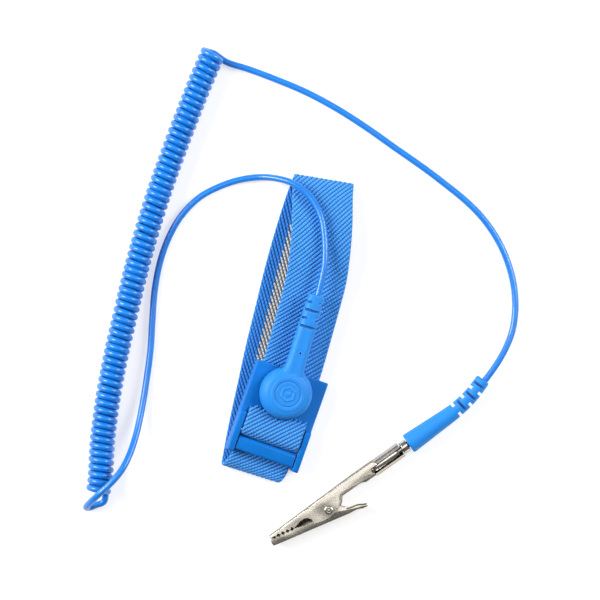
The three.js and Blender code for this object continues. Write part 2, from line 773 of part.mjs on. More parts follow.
function upperJaw() {
  const back = -barrelRadius;
  const flank = [
    [barrelEnd - 2, back],
    [barrelEnd + 6.5, back],
    [jawTip - 0.6, -1.9],
    [jawTip, -1.4],
    [jawTip, -0.7],
    ...teeth([jawTip - 0.6, -0.9], [46.4, 0.7], 5, -0.7),
    [43.8, 0.1],
    [41, 0.3],
    [40.2, 2.2],
    [40.4, 3.2],
    [37.3, 4.3],
    [35.5, 4.6],
    [32.6, 4.3],
    [30.6, 3.4],
    [29.2, 2.1],
    [27.9, 0.2],
    [barrelEnd - 2, 0.2],
  ];
  const inside = [
    [barrelEnd - 3, back + SHEET],
    [barrelEnd + 6.5, back + SHEET],
    [jawTip + 1, -1.9 + SHEET],
    [jawTip + 1, 8],
    [barrelEnd - 3, 8],
  ];
  const clear = UPPER_HALF_WIDTH - SHEET;
  const channel = solid(plate(flank, -UPPER_HALF_WIDTH, UPPER_HALF_WIDTH)).subtract(
    solid(plate(inside, -clear, clear)),
  );
  const outer = solid(alongPlug(rod(barrelRadius, barrelStart, barrelEnd, 28)));
  const bore = solid(alongPlug(rod(barrelBore, barrelStart - 1, barrelEnd + 1, 28)));
  const seam = block([barrelStart - 1, -BARREL_SEAM / 2, 0], [barrelEnd + 1, BARREL_SEAM / 2, 4]);
  const hole = rod(RIVET_RADIUS + GAP, -5, 5, 16).translate(...rivetAt, 0);
  const jaw = outer
    .add(channel)
    .subtract(bore)
    .subtract(solid(seam.rotateX(-20 * DEG)))
    .subtract(solid(hole));
  return surface(jaw);
}

function lowerJaw() {
  const flank = [
    [jawTip - 0.3, -0.5],
    [jawTip + 0.2, 0.3],
    [jawTip + 0.3, 1.7],
    [29, 7.4],
    [26, 7.8],
    [22.6, 8.9],
    [22.4, 8.3],
    [25.8, 7.1],
    [28.6, 6.6],
    [30, 3.4],
    [31.6, 1],
    [34, 0],
    [37, 0.4],
    [39, 1.8],
    [41.2, 2.6],
    [44.6, 1.6],
    [46.4, 0.9],
  ];
  const notched = [...flank, ...teeth([46.6, 0.8], [jawTip - 0.8, -0.7], 5, 0.6)];
  const inside = [
    [jawTip + 2, 0.9],
    [jawTip + 2, -3],
    [29.3, -3],
    [29.3, 6.75],
  ];
  const clear = lowerHalfWidth - SHEET;
  const hole = rod(RIVET_RADIUS + GAP, -5, 5, 16).translate(...rivetAt, 0);
  const jaw = solid(plate(notched, -lowerHalfWidth, lowerHalfWidth))
    .subtract(solid(plate(inside, -clear, clear)))
    .subtract(solid(hole));
  return surface(jaw);
}

function clipRivet() {
  const inner = UPPER_HALF_WIDTH + GAP;
  const outer = inner + 0.3;
  const head = RIVET_RADIUS + 0.35;
  const rivet = turned(
    [
      [RIVET_HOLE_RADIUS, -outer],
      [head, -outer],
      [head, -inner],
      [RIVET_RADIUS, -inner],
      [RIVET_RADIUS, inner],
      [head, inner],
      [head, outer],
      [RIVET_HOLE_RADIUS, outer],
      [RIVET_HOLE_RADIUS, -outer],
    ],
    20,
  );
  return rivet.translate(...rivetAt, 0);
}

function clipSpring() {
  const radius = RIVET_RADIUS + GAP + SPRING_WIRE_RADIUS;
  const height = 2 * (lowerHalfWidth - SHEET - GAP - SPRING_WIRE_RADIUS);
  const points = [[-5.6, -2.4, -height / 2]];
  const perTurn = 12;
  const first = 250;
  const sweep = -360 * SPRING_TURNS + 60;
  for (let i = 0; i <= SPRING_TURNS * perTurn; i++) {
    const share = i / (SPRING_TURNS * perTurn);
    const turn = (first + sweep * share) * DEG;
    points.push([radius * Math.cos(turn), radius * Math.sin(turn), (share - 0.5) * height]);
  }
  const [x, y] = points.at(-1);
  points.push([x - 3.4, y - 0.4, height / 2]);
  return tube(points, 2 * SPRING_WIRE_RADIUS, 6, 66).translate(...rivetAt, 0);
}

// ---- Assembly -----------------------------------------------------------------------------------
const strap = new THREE.Group();
strap.add(named("band", band(), WEBBING()));

buckle.add(
  named("buckle_frame", buckleFrame(), MOULDED_BLUE()),
  named("clamp_door", clampDoor(), MOULDED_BLUE()),
  named("skin_plate", skinPlate(), NICKEL()),
  named("stud_post", studPost(), NICKEL()),
  named("snap_stud", snapStud(), NICKEL()),
);

const head = new THREE.Group();
head.rotation.z = HEAD_SWIVEL;
const resistorHalf = RESISTOR_LENGTH / 2 + GAP;
head.add(
  named("snap_cap", snapCap(), SOFT_BLUE()),
  named("snap_socket", snapSocket(), NICKEL()),
  named("socket_spring", socketSpring(), BRASS()),
  named("safety_resistor", resistorBody(), CERAMIC()),
  named("snap_wire", resistorWire(socketOutside + GAP, resistorMiddle - resistorHalf), NICKEL()),
  named("cord_wire", resistorWire(resistorMiddle + resistorHalf, cavityEnd - GAP), NICKEL()),
);
buckle.add(head);
strap.add(buckle);

const coilHeight = COIL_DIAMETER / 2 + 0.1;
const coilPoints = COIL_ROUTE.map(([x, y]) => [x, y, coilHeight]);
strap.add(
  named("lead_cord", tube(LEAD_ROUTE, CORD_DIAMETER, 8, 46), CORD_BLUE()),
  named("coil_cord", tube(coilPoints, COIL_DIAMETER, 12, 20), CORD_BLUE()),
  named("clip_cord", tube(CLIP_ROUTE, CORD_DIAMETER, 8, 34), CORD_BLUE()),
);

plugLine.add(
  named("clip_boot", clipBoot(), SOFT_BLUE()),
  named("plug_pin", plugPin(), NICKEL()),
  named("plug_spring", plugSpring(), NICKEL()),
  named("upper_jaw", upperJaw(), NICKEL()),
  named("lower_jaw", lowerJaw(), NICKEL()),
  named("clip_rivet", clipRivet(), NICKEL()),
  named("clip_spring", clipSpring(), NICKEL()),
);
strap.add(plugLine);

export default strap;
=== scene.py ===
# %% [markdown]
# # An ESD wrist strap, laid out on a table
#
# An elastic band with a conductive stripe is folded flat in its clamp buckle. A moulded head presses
# onto the buckle's 4 mm stud, and a thin cord runs from it through a long curly stretch to a plug
# that carries a crocodile clip. The engineering model gives every piece's place and motion. This
# notebook gives each one the surface that a person sees.

# %% Load the fixed frame
import math

import bmesh
import bpy
import numpy as np
from mathutils import Matrix, Vector


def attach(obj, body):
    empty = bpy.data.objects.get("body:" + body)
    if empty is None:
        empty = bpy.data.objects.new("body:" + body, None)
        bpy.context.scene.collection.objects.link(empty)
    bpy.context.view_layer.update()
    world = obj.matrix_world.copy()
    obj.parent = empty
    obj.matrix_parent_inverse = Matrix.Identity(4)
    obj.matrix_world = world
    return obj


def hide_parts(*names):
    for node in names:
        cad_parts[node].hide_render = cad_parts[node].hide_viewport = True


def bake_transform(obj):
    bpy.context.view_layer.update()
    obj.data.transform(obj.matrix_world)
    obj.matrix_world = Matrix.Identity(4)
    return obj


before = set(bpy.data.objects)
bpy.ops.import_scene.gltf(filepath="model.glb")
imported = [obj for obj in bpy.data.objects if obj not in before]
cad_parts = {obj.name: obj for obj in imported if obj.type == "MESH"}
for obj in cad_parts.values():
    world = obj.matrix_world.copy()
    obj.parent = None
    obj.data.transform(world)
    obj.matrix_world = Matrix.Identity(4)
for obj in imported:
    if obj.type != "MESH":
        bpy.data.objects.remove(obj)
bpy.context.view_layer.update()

MM = 0.001

# %% [markdown]
# ## The camera
#
# The strap is seen from straight above through a long lens, so that nothing leans outwards. The
# picture is turned on the table: the buckle's own length runs up and to the left of it.

# %% Place the camera
VIEW_CENTRE = (-6.6, 30.4)
VIEW_WIDTH = 198.0
VIEW_TURN = math.radians(19.47)
CAMERA_HEIGHT = 1300.0
SENSOR = 36.0

camera_data = bpy.data.cameras.new("camera")
camera_data.sensor_width = SENSOR
camera_data.lens = SENSOR * CAMERA_HEIGHT / VIEW_WIDTH
camera_data.clip_end = 10.0
camera = bpy.data.objects.new("camera", camera_data)
camera.location = (VIEW_CENTRE[0] * MM, VIEW_CENTRE[1] * MM, CAMERA_HEIGHT * MM)
camera.rotation_euler = (0, 0, VIEW_TURN)
bpy.context.scene.collection.objects.link(camera)
bpy.context.scene.camera = camera
print("lens", round(camera_data.lens), "mm")

# %% [markdown]
# ## The light
#
# Two large soft boxes stand low at the upper left and the right, so a glossy cord shows a pale line
# along each side and its own colour between them. A weak one hangs high above: it adds little light,
# but flat metal mirrors it, and without it bare steel would look black. An even fill comes from all
# round.

# %% Hang the three soft boxes
def soft_box(name, bearing, height, reach, width, power):
    """A square lamp aimed at the strap. bearing is degrees anticlockwise from the picture's right."""
    data = bpy.data.lights.new(name, "AREA")
    data.shape = "SQUARE"
    data.size = width
    data.energy = power
    box = bpy.data.objects.new(name, data)
    turn = math.radians(bearing) + VIEW_TURN
    centre = Vector((VIEW_CENTRE[0] * MM, VIEW_CENTRE[1] * MM, 0))
    box.location = centre + Vector((reach * math.cos(turn), reach * math.sin(turn), height))
    box.rotation_euler = (centre - box.location).to_track_quat("-Z", "Y").to_euler()
    bpy.context.scene.collection.objects.link(box)
    return box


soft_box("left_box", bearing=160, height=0.55, reach=0.75, width=0.5, power=11.5)
soft_box("right_box", bearing=20, height=0.55, reach=0.78, width=0.45, power=7.5)
soft_box("high_box", bearing=90, height=1.6, reach=0.25, width=0.8, power=3.4)

world = bpy.data.worlds.new("room")
bpy.context.scene.world = world
world.use_nodes = True
world.node_tree.nodes["Background"].inputs["Color"].default_value = (1.0, 1.0, 1.0, 1.0)
world.node_tree.nodes["Background"].inputs["Strength"].default_value = 0.13
bpy.context.scene.view_settings.view_transform = "Standard"

# %% [markdown]
# ## Colours and nodes
#
# Every colour below is a hex value as a paint chart gives it, which one function turns into the
# linear light that the shader works in. One more function adds a shader node with its settings and
# its links. Each material starts from the Principled shader, whose own sockets hold whatever is the
# same all over the piece.

# %% One function for colours, one for nodes, one for materials
def linear(chart):
    """The linear colour of an sRGB hex value such as "#3D9BEE"."""
    parts = [int(chart[i:i + 2], 16) / 255 for i in (1, 3, 5)]
    return [p / 12.92 if p <= 0.04045 else ((p + 0.055) / 1.055) ** 2.4 for p in parts] + [1.0]


def add(tree, kind, settings=None, links=None):
    """Adds one node. settings are its own choices or its inputs' values, links are its inputs' sources."""
    made = tree.nodes.new("ShaderNode" + kind)
    for key, value in (settings or {}).items():
        if isinstance(key, str) and hasattr(made, key):
            setattr(made, key, value)
        else:
            made.inputs[key].default_value = value
    for key, source in (links or {}).items():
        tree.links.new(source, made.inputs[key])
    return made


def material(name, roughness, metallic=0.0, **sockets):
    """A new material, its node tree and its shader, with the even values set on the shader."""
    made = bpy.data.materials.new(name)
    made.use_nodes = True
    shader = made.node_tree.nodes["Principled BSDF"]
    shader.inputs["Roughness"].default_value = roughness
    shader.inputs["Metallic"].default_value = metallic
    for socket, value in sockets.items():
        shader.inputs[socket.replace("_", " ")].default_value = value
    return made, made.node_tree, shader


def with_painted_shade(tree, colour, painted_shade_tone, reach):
    """Painted shade: the colour turns to a darker shade colour where other surfaces stand close around."""
    around = add(tree, "AmbientOcclusion", {"samples": 4, "Distance": reach})
    closed = add(tree, "MapRange", {"From Min": 0.8, "From Max": 0.25}, {"Value": around.outputs["AO"]})
    mixed = add(tree, "Mix", {"data_type": "RGBA", 7: linear(painted_shade_tone)}, {0: closed.outputs[0], 6: colour})
    return mixed.outputs[2]


# %% [markdown]
# ## The table
#
# The strap lies on a plain white sheet. A trace of its own light stands for the light that a white
# sheet gets back from a room.

# %% Lay the white sheet
TABLE_HALF = 3.0


def white_sheet():
    made, tree, shader = material("white_paper_sheet", 0.9)
    place = add(tree, "TexCoord")
    fibre = add(tree, "TexNoise", {"Scale": 400.0, "Detail": 3.0}, {"Vector": place.outputs["Object"]})
    tone = add(tree, "Mix", {"data_type": "RGBA", 6: linear("#B9B9B9"), 7: linear("#BFBFBF")},
               {0: fibre.outputs["Fac"]})
    tree.links.new(tone.outputs[2], shader.inputs["Base Color"])
    shader.inputs["Emission Color"].default_value = (1.0, 1.0, 1.0, 1.0)
    shader.inputs["Emission Strength"].default_value = 0.6
    return made


sheet_mesh = bpy.data.meshes.new("table")
corners = [(-TABLE_HALF, -TABLE_HALF, 0), (TABLE_HALF, -TABLE_HALF, 0),
           (TABLE_HALF, TABLE_HALF, 0), (-TABLE_HALF, TABLE_HALF, 0)]
sheet_mesh.from_pydata(corners, [], [(0, 1, 2, 3)])
table = bpy.data.objects.new("table", sheet_mesh)
sheet_mesh.materials.append(white_sheet())
bpy.context.scene.collection.objects.link(table)

# %% [markdown]
# ## Shapes that several pieces share
#
# A curve through a few chosen points is a centripetal Catmull-Rom curve, the kind that never loops
# back at a sharp point. A piece with one outline all along, such as a cord or a boot, is a row of
# rings joined by a skin. A turned piece, such as a pin or a rivet, is the same skin whose rings run
# round an axis.

# %% A smooth line through chosen points
def smooth_line(points, spacing):
    """Evenly spaced points on a centripetal Catmull-Rom curve. Columns past the third ride along."""
    chosen = np.array(points, float)
    ahead = 2 * chosen[0] - chosen[1]
    behind = 2 * chosen[-1] - chosen[-2]
    chosen = np.vstack([ahead, chosen, behind])
    fine = []
    for p0, p1, p2, p3 in zip(chosen[:-3], chosen[1:-2], chosen[2:-1], chosen[3:]):
        d0, d1, d2 = (np.linalg.norm((b - a)[:3]) ** 0.5 for a, b in ((p0, p1), (p1, p2), (p2, p3)))
        leave = ((p1 - p0) / d0 - (p2 - p0) / (d0 + d1) + (p2 - p1) / d1) * d1
        arrive = ((p2 - p1) / d1 - (p3 - p1) / (d1 + d2) + (p3 - p2) / d2) * d1
        t = np.linspace(0, 1, 24, endpoint=False)[:, None]
        cubic = 2 * p1 - 2 * p2 + leave + arrive
        square = -3 * p1 + 3 * p2 - 2 * leave - arrive
        fine.append(p1 + leave * t + square * t ** 2 + cubic * t ** 3)
    fine = np.vstack([*fine, chosen[-2]])
    run = np.concatenate([[0], np.cumsum(np.linalg.norm(np.diff(fine[:, :3], axis=0), axis=1))])
    even = np.linspace(0, run[-1], max(2, round(run[-1] / spacing)) + 1)
    return np.column_stack([np.interp(even, run, column) for column in fine.T])


def length_of(line):
    return float(np.linalg.norm(np.diff(line, axis=0), axis=1).sum())


# %% A skin over rings, and a piece made of it
def skin(rings, closed=False):
    """Faces over rings of equal size. Open rows of rings get flat ends, closed ones join up."""
    rows, around = len(rings), len(rings[0])
    faces = []
    for row in range(rows if closed else rows - 1):
        a, b = row * around, ((row + 1) % rows) * around
        faces += [(a + i, a + (i + 1) % around, b + (i + 1) % around, b + i) for i in range(around)]
    if not closed:
        faces.append(tuple(range(around))[::-1])
        faces.append(tuple(range((rows - 1) * around, rows * around)))
    return faces


def piece(name, points, faces, finish, smooth_angle=40):
    """A new object from points in millimetres. Edges sharper than smooth_angle degrees stay crisp."""
    mesh = bpy.data.meshes.new(name)
    mesh.from_pydata((np.array(points, float) * MM).tolist(), [], faces)
    mesh.materials.append(finish)
    made = bpy.data.objects.new(name, mesh)
    bpy.context.scene.collection.objects.link(made)
    tidy = bmesh.new()
    tidy.from_mesh(mesh)
    bmesh.ops.recalc_face_normals(tidy, faces=tidy.faces)
    tidy.to_mesh(mesh)
    tidy.free()
    mesh.shade_smooth()
    mesh.set_sharp_from_angle(angle=math.radians(smooth_angle))
    return made


def tube_rings(line, radius, sides):
    """Round rings across a line, turned as little as can be from each to the next."""
    line = np.array(line, float)
    ahead = np.gradient(line, axis=0)
    ahead /= np.linalg.norm(ahead, axis=1)[:, None]
    side = np.cross(ahead[0], (0.0, 0.0, 1.0))
    if np.linalg.norm(side) < 1e-3:
        side = np.array((1.0, 0.0, 0.0))
    angles = np.linspace(0, 2 * math.pi, sides, endpoint=False)[:, None]
    radii = np.broadcast_to(radius, len(line))
    rings = []
    for centre, forward, size in zip(line, ahead, radii):
        side = side - forward * (side @ forward)
        side /= np.linalg.norm(side)
        rise = np.cross(forward, side)
        rings.append(centre + size * (np.cos(angles) * side + np.sin(angles) * rise))
    return rings


# %% [markdown]
# ## The cord's jacket
#
# The cord is a tinsel or stranded core in a thin polyurethane jacket, drawn through a die, so it is
# smooth and glossy with only a faint waviness along it. The curly stretch is the same cord wound on a
# rod and set by heat. That gives the eye one sharp highlight on every turn.

# %% Polyurethane, extruded
def extruded_polyurethane():
    made, tree, shader = material("extruded_polyurethane", 0.32, IOR=1.5, Coat_Weight=0.35,
                                  Coat_Roughness=0.2)
    place = add(tree, "TexCoord")
    drift = add(tree, "TexNoise", {"Scale": 60.0, "Detail": 2.0}, {"Vector": place.outputs["Object"]})
    tone = add(tree, "Mix", {"data_type": "RGBA", 6: linear("#0670CC"), 7: linear("#1080DE")},
               {0: drift.outputs["Fac"]})
    tree.links.new(tone.outputs[2], shader.inputs["Base Color"])
    # Die lines and dust show at about 0.4 mm, coarser than the real ones so that they can be seen.
    fine = add(tree, "TexNoise", {"Scale": 2500.0, "Detail": 2.0}, {"Vector": place.outputs["Object"]})
    bump = add(tree, "Bump", {"Strength": 0.12, "Distance": 0.00005}, {"Height": fine.outputs["Fac"]})
    tree.links.new(bump.outputs[0], shader.inputs["Normal"])
    return made


cord_jacket = extruded_polyurethane()

# %% [markdown]
# ## The cord
#
# One cord runs all the way. Its mesh is cut in two beside the head, on one shared ring. From the head
# it rises over the folded band and comes down to the table, passes over the curly stretch's near end
# and tucks under it. The curl is a left-handed helix worked out turn by turn, and the rest goes to the
# plug. A tube swept along one line keeps the cord's thickness exact, which a simulated cord would not.

# %% The route, in millimetres
CORD_DIAMETER = 2.2
COIL_DIAMETER = 8.6
COIL_AXIS_HEIGHT = COIL_DIAMETER / 2 + 0.1
COIL_PITCH = 2.36
COIL_START_TURN = -35.0  # degrees: the cord comes up on the right of the first turn

LEAD_ROUTE = [
    (-1.35, 30.5, 10.45), (-1.6, 34.1, 10.4), (-2.1, 39, 10.4), (-3, 44.5, 10.3), (-5.5, 51.6, 9.8),
    (-9.2, 58.4, 8.9), (-15, 63.6, 7.7), (-21.3, 65.7, 6.5), (-26.7, 65.6, 4.6), (-32.4, 64.2, 2.3),
    (-38.3, 61.3, 1.3), (-43.9, 57, 1.2), (-49, 51.4, 1.2), (-52.6, 44, 1.2), (-54.2, 36, 1.2),
    (-54.3, 27.5, 1.2), (-52.9, 17.8, 1.2), (-50.3, 8, 1.2), (-47.6, -1.5, 1.2), (-45.5, -11.3, 1.4),
    (-43.7, -21.1, 2.6), (-42.6, -29.5, 5), (-42.4, -36.4, 8), (-43.2, -42, 10.1), (-45, -46.8, 10.8),
    (-47.4, -51.4, 10.3), (-49.4, -55.2, 7), (-50.2, -57.3, 3.5), (-49.4, -57.4, 1.5),
    (-47.6, -55.8, 1.2), (-45.4, -53.9, 1.3),
]
COIL_AXIS = [
    (-47.6, -51), (-49.6, -44.5), (-52.4, -35), (-55.4, -21), (-57.6, -7), (-59.2, 7), (-60.6, 20.2),
    (-61.6, 34), (-62.1, 48), (-62.1, 61.5), (-61.8, 75), (-61.3, 88), (-60.6, 97.6),
]
CLIP_ROUTE = [
    (-55.6, 96.3, 1.2), (-48, 96.5, 1.2), (-38, 96.3, 1.2), (-27.9, 95.7, 1.2), (-16.6, 94, 1.2),
    (-5.3, 91.4, 1.2), (6.4, 88.1, 1.2), (17.9, 84.9, 1.2), (26.3, 82.2, 1.2), (33.6, 79.6, 1.2),
    (40, 76.6, 1.2), (45.4, 73.1, 1.2), (50, 69.2, 1.2), (53.8, 65, 1.2), (57.2, 60.2, 1.2),
    (59.9, 55, 1.2), (61.8, 49.5, 1.3), (62.8, 43.5, 1.7), (62.5, 37.3, 2.6), (61.4, 31.7, 3.4),
    (59.7, 26.1, 3.75), (58.6, 23.2, 3.75),
]

# %% Wind the curl and sweep the cord
def curl():
    """The curly stretch's line: a left-handed helix round its bowed axis."""
    axis = smooth_line([(x, y, COIL_AXIS_HEIGHT) for x, y in COIL_AXIS], 0.1)
    run = np.linspace(0, length_of(axis), len(axis))
    ahead = np.gradient(axis, axis=0)
    ahead /= np.linalg.norm(ahead, axis=1)[:, None]
    right = np.column_stack([ahead[:, 1], -ahead[:, 0], np.zeros(len(axis))])
    whole_turns = round(run[-1] / COIL_PITCH)
    end_turn = 270.0  # it ends underneath, heading right
    total = whole_turns * 360 - 360 + end_turn - COIL_START_TURN
    steps = round(total / 15)
    share = np.linspace(0, 1, steps + 1)
    turn = np.radians(COIL_START_TURN + total * share)
    # Real turns never lie quite evenly: each wanders a few hundredths of its diameter.
    wander = 0.16 * np.sin(5.1 * share * 2 * math.pi) + 0.1 * np.sin(17.3 * share * 2 * math.pi)
    along = run[-1] * share + wander * np.sin(math.pi * share)
    radius = (COIL_DIAMETER - CORD_DIAMETER) / 2
    at = lambda rows: np.column_stack([np.interp(along, run, rows[:, i]) for i in range(3)])
    slack = -0.7 * np.exp(-along / 1.6)[:, None]  # the first turn stands out to the left
    sideways = at(right)
    upwards = np.array((0.0, 0.0, 1.0))
    print("curly stretch:", round(total / 360, 1), "turns,", round(run[-1]), "mm long")
    return at(axis) + radius * (np.cos(turn)[:, None] * sideways + np.sin(turn)[:, None] * upwards) + (
        slack * sideways)


cord_line = smooth_line([*LEAD_ROUTE, *curl(), *CLIP_ROUTE], 0.8)
cord_length = length_of(cord_line)
cord_rings = tube_rings(cord_line, CORD_DIAMETER / 2, 14)
split = int(np.argmin(np.linalg.norm(cord_line[:, :2] - np.array((-15, 63.6)), axis=1)))
first, rest = cord_rings[:split + 1], cord_rings[split:]
cord_at_head = piece("cord_at_head", np.vstack(first), skin(first), cord_jacket)
cord = piece("cord", np.vstack(rest), skin(rest), cord_jacket)
print("cord length", round(cord_length), "mm, the first", round(length_of(cord_line[:split + 1])), "mm bend")

# %% [markdown]
# ## Where the buckle stands
#
# The buckle leans 11 degrees to its right on the folded band. Its pieces are drawn in its own axes,
# across, along and up, and one matrix takes them to the table. The head has its own small turn in it.

# %% The buckle's axes and heights, in millimetres
GAP = 0.3
BUCKLE_ROLL = math.radians(11)
HEAD_TURN = math.radians(2.5)
BUCKLE_HEAD_END, BUCKLE_TAIL_END = 7.55, 23.6
BUCKLE_OFFSET = 0.35
HALF_OPENING, CHEEK_WIDTH = 10.35, 2.05
BAND_WIDTH, BAND_THICKNESS = 20.0, 1.2
HEAD_RADIUS = 8.7

SKIRT_BOTTOM = (GAP + (BUCKLE_OFFSET + HALF_OPENING + CHEEK_WIDTH) * math.sin(BUCKLE_ROLL)) / math.cos(
    BUCKLE_ROLL)
DECK_BOTTOM = SKIRT_BOTTOM + 3.0
DECK_TOP = DECK_BOTTOM + 1.6
CHEEK_TOP = DECK_TOP + 1.4
HEAD_BOTTOM = DECK_TOP + 0.4
HEAD_TOP = HEAD_BOTTOM + 5.4
NECK_HEIGHT = HEAD_BOTTOM + 2.65
DOOR_RADIUS = 1.5
PIVOT_ALONG = -(BUCKLE_TAIL_END - 3.2 - 1.1)
PIVOT_HEIGHT = CHEEK_TOP - GAP - DOOR_RADIUS
SLOT_MIDDLE = PIVOT_ALONG + DOOR_RADIUS + GAP + BAND_THICKNESS / 2
DECK_EDGE = SLOT_MIDDLE + BAND_THICKNESS / 2 + 0.7

BUCKLE_AXES = Matrix.Translation((-HEAD_TOP * math.sin(BUCKLE_ROLL), 0, 0)) @ Matrix.Rotation(
    BUCKLE_ROLL, 4, "Y")
HEAD_AXES = BUCKLE_AXES @ Matrix.Rotation(HEAD_TURN, 4, "Z")


def placed(points, axes):
    """Points of a piece's own axes, taken to the table's."""
    spin = np.array(axes)
    return np.array(points, float) @ spin[:3, :3].T + spin[:3, 3]


print("deck top", round(DECK_TOP, 2), "head top", round(HEAD_TOP, 2))

# %% [markdown]
# ## Band: where it runs
#
# One end is held under the deck. The band goes up and over into a tight fold, back along the table
# with its inner face up, folds again under the clamp and comes up through the slot. Its stations are
# chosen one by one, as a tailor pins a strap, and each holds a place and the way that the width lies.

# %% The band's stations
def band_stations():
    """Rows of a place and a sideways direction, six numbers each."""
    rest = BAND_THICKNESS / 2
    roll = math.degrees(BUCKLE_ROLL)
    under_deck = DECK_BOTTOM - GAP - rest
    under_door = PIVOT_HEIGHT - DOOR_RADIUS - GAP - rest
    free = [
        (-1.9, 14, 4.9, 3, roll), (-2.3, 20, 5, 4, roll), (-3, 30, 5.3, 7, 10), (-3.9, 39.3, 6.5, 9, 8),
        (-5.6, 47.4, 7.5, 12, 6), (-7.8, 55.5, 7.2, 15, 4), (-9.8, 61.6, 5.7, 15, 3),
        (-11.3, 66.1, 4.1, 13, 1), (-12.1, 69.1, 3.1, 11, 0), (-12.4, 70.3, 2, 10, 0),
        (-12.3, 69.5, 1.05, 8, 0), (-12.3, 67, 0.62, 6, 0), (-12.4, 62, rest, 4, 0),
        (-12, 50, rest, 4, 0), (-11.2, 38, rest, 5, 0), (-9.9, 25, rest, 6, 0), (-8.5, 11, rest, 7, 0),
        (-7.1, 0, rest, 7, 0), (-5.6, -12, rest, 7, 0), (-4.3, -21, rest, 6, 0), (-3.5, -26, 0.8, 5, 0),
        (-3.2, -28, 1.6, 3, 0), (-3, -28.5, 2.6, 2, 2), (-2.6, -28.1, 3.5, 1, 5),
        (-1.9, -26.8, 4.2, 0, 10),
    ]
    held = [(0, -8.7, under_deck), (0, 0, under_deck), (0, BUCKLE_HEAD_END, under_deck)]
    clamped = [
        (-BUCKLE_TAIL_END, under_door), (PIVOT_ALONG - 0.7, under_door),
        (SLOT_MIDDLE - 1.4, under_door + 0.1),
        (SLOT_MIDDLE - 0.3, under_door + 0.8), (SLOT_MIDDLE, PIVOT_HEIGHT - 0.4),
        (SLOT_MIDDLE + 0.35, DECK_TOP + 0.5), (SLOT_MIDDLE + 1.25, DECK_TOP + 1.25),
        (SLOT_MIDDLE + 3, DECK_TOP + 1.35), (SLOT_MIDDLE + 5.5, DECK_TOP + 1.2), (-7.7, DECK_TOP + 1),
    ]
    across = np.array((math.cos(BUCKLE_ROLL), 0, -math.sin(BUCKLE_ROLL)))
    rows = [np.concatenate([place, across]) for place in placed(held, BUCKLE_AXES)]
    for x, y, z, turn, lean in free:
        turn, lean = math.radians(turn), math.radians(lean)
        level = math.cos(lean)
        rows.append(np.array((x, y, z, level * math.cos(turn), level * math.sin(turn), -math.sin(lean))))
    tail = [(BUCKLE_OFFSET, along, up) for along, up in clamped]
    return rows + [np.concatenate([place, across]) for place in placed(tail, BUCKLE_AXES)]


ROW_STEP = 0.2
band_line = smooth_line(band_stations(), ROW_STEP)
middle, sideways = band_line[:, :3].copy(), band_line[:, 3:].copy()
on_table = middle[:, 2] < BAND_THICKNESS / 2
middle[on_table, 2] = BAND_THICKNESS / 2
sideways[on_table, 2] = 0


def face_and_side():
    """Unit directions out of the band's face and across it. The weave shears where it must."""
    forward = np.gradient(middle, axis=0)
    side = sideways / np.linalg.norm(sideways, axis=1)[:, None]
    face = np.cross(side, forward)
    return face / np.linalg.norm(face, axis=1)[:, None], side


band_run = np.concatenate([[0], np.cumsum(np.linalg.norm(np.diff(middle, axis=0), axis=1))])
BAND_LENGTH = band_run[-1]
print("band, cut length", round(BAND_LENGTH, 1), "mm")

# %% [markdown]
# ## Band: the weave
#
# Covered elastic is woven so that cords run slantwise over the face, at 45 degrees on the outside and
# steeper on the inside. The ribs are deep enough to cast shadows, so they are geometry. A plain grid
# fine enough for them would be very heavy, so each row of the mesh runs along a rib instead: eight
# rows make a rib and a few columns carry it across. Where a row leaves the cut length it is clipped,
# and points that fall together are merged, which also closes the rounded edges.

#
# The trimmed end stands against the round head, so it is hollowed there to leave the head room.

# %% Two slanted faces, joined at the edges
OUTER_SLANT, OUTER_ROWS = 1.0, 8  # rise along the band per step across, rows to a rib
INNER_SLANT, INNER_ROWS = 1.74, 11
EDGE_ROUND = 0.6
RIB_DEPTH = 0.34


def band_frame(run):
    """The middle, side and face directions at distances along the band."""
    at = lambda rows: np.stack([np.interp(run, band_run, rows[:, i]) for i in range(3)], axis=-1)
    face, side = face_and_side()
    return at(middle), at(side), at(face)


def rib_height(share):
    """A round cord's height across its own width, from 0 in the gap to 1 on the crest."""
    return np.abs(np.sin(math.pi * share)) ** 0.7


def trimmed(across):
    """Where the band is cut, along it, at a place across it."""
    from_head = np.sqrt(np.clip((HEAD_RADIUS + 0.25) ** 2 - (across + BUCKLE_OFFSET) ** 2, 0, None))
    return BAND_LENGTH - np.clip(from_head - 7.7, 0, None)


def woven_face(slant, rows_to_rib, sign):
    """Points of one face as (along, across, height), and its quads."""
    half = BAND_WIDTH / 2
    inner = half - EDGE_ROUND
    edge = [half, half - 0.07, half - 0.27]
    columns = np.array([-c for c in edge] + list(np.linspace(-inner, inner, 25)) + edge[::-1])
    reach = math.ceil(INNER_SLANT * half / ROW_STEP) + 3
    row = np.arange(-reach, round(BAND_LENGTH / ROW_STEP) + reach + 1)
    across = np.broadcast_to(columns, (len(row), len(columns)))
    raw = row[:, None] * ROW_STEP + slant * across
    along = np.clip(raw, 0, trimmed(across))
    clipped = along != raw
    outwards = np.clip((np.abs(across) - inner) / EDGE_ROUND, 0, 1)
    round_edge = np.sqrt(1 - outwards ** 2)
    rib = rib_height(row / rows_to_rib)[:, None] * round_edge
    relief = np.where(clipped, 0.5 * round_edge, rib)
    base = BAND_THICKNESS / 2 - RIB_DEPTH + 0.08
    height = sign * (base * round_edge + RIB_DEPTH * relief)
    width = len(columns)
    start = np.arange(len(row) - 1)[:, None] * width + np.arange(width - 1)
    quads = np.stack([start, start + 1, start + width + 1, start + width], axis=-1).reshape(-1, 4)
    return np.stack([along, across, height], axis=-1).reshape(-1, 3), quads, width


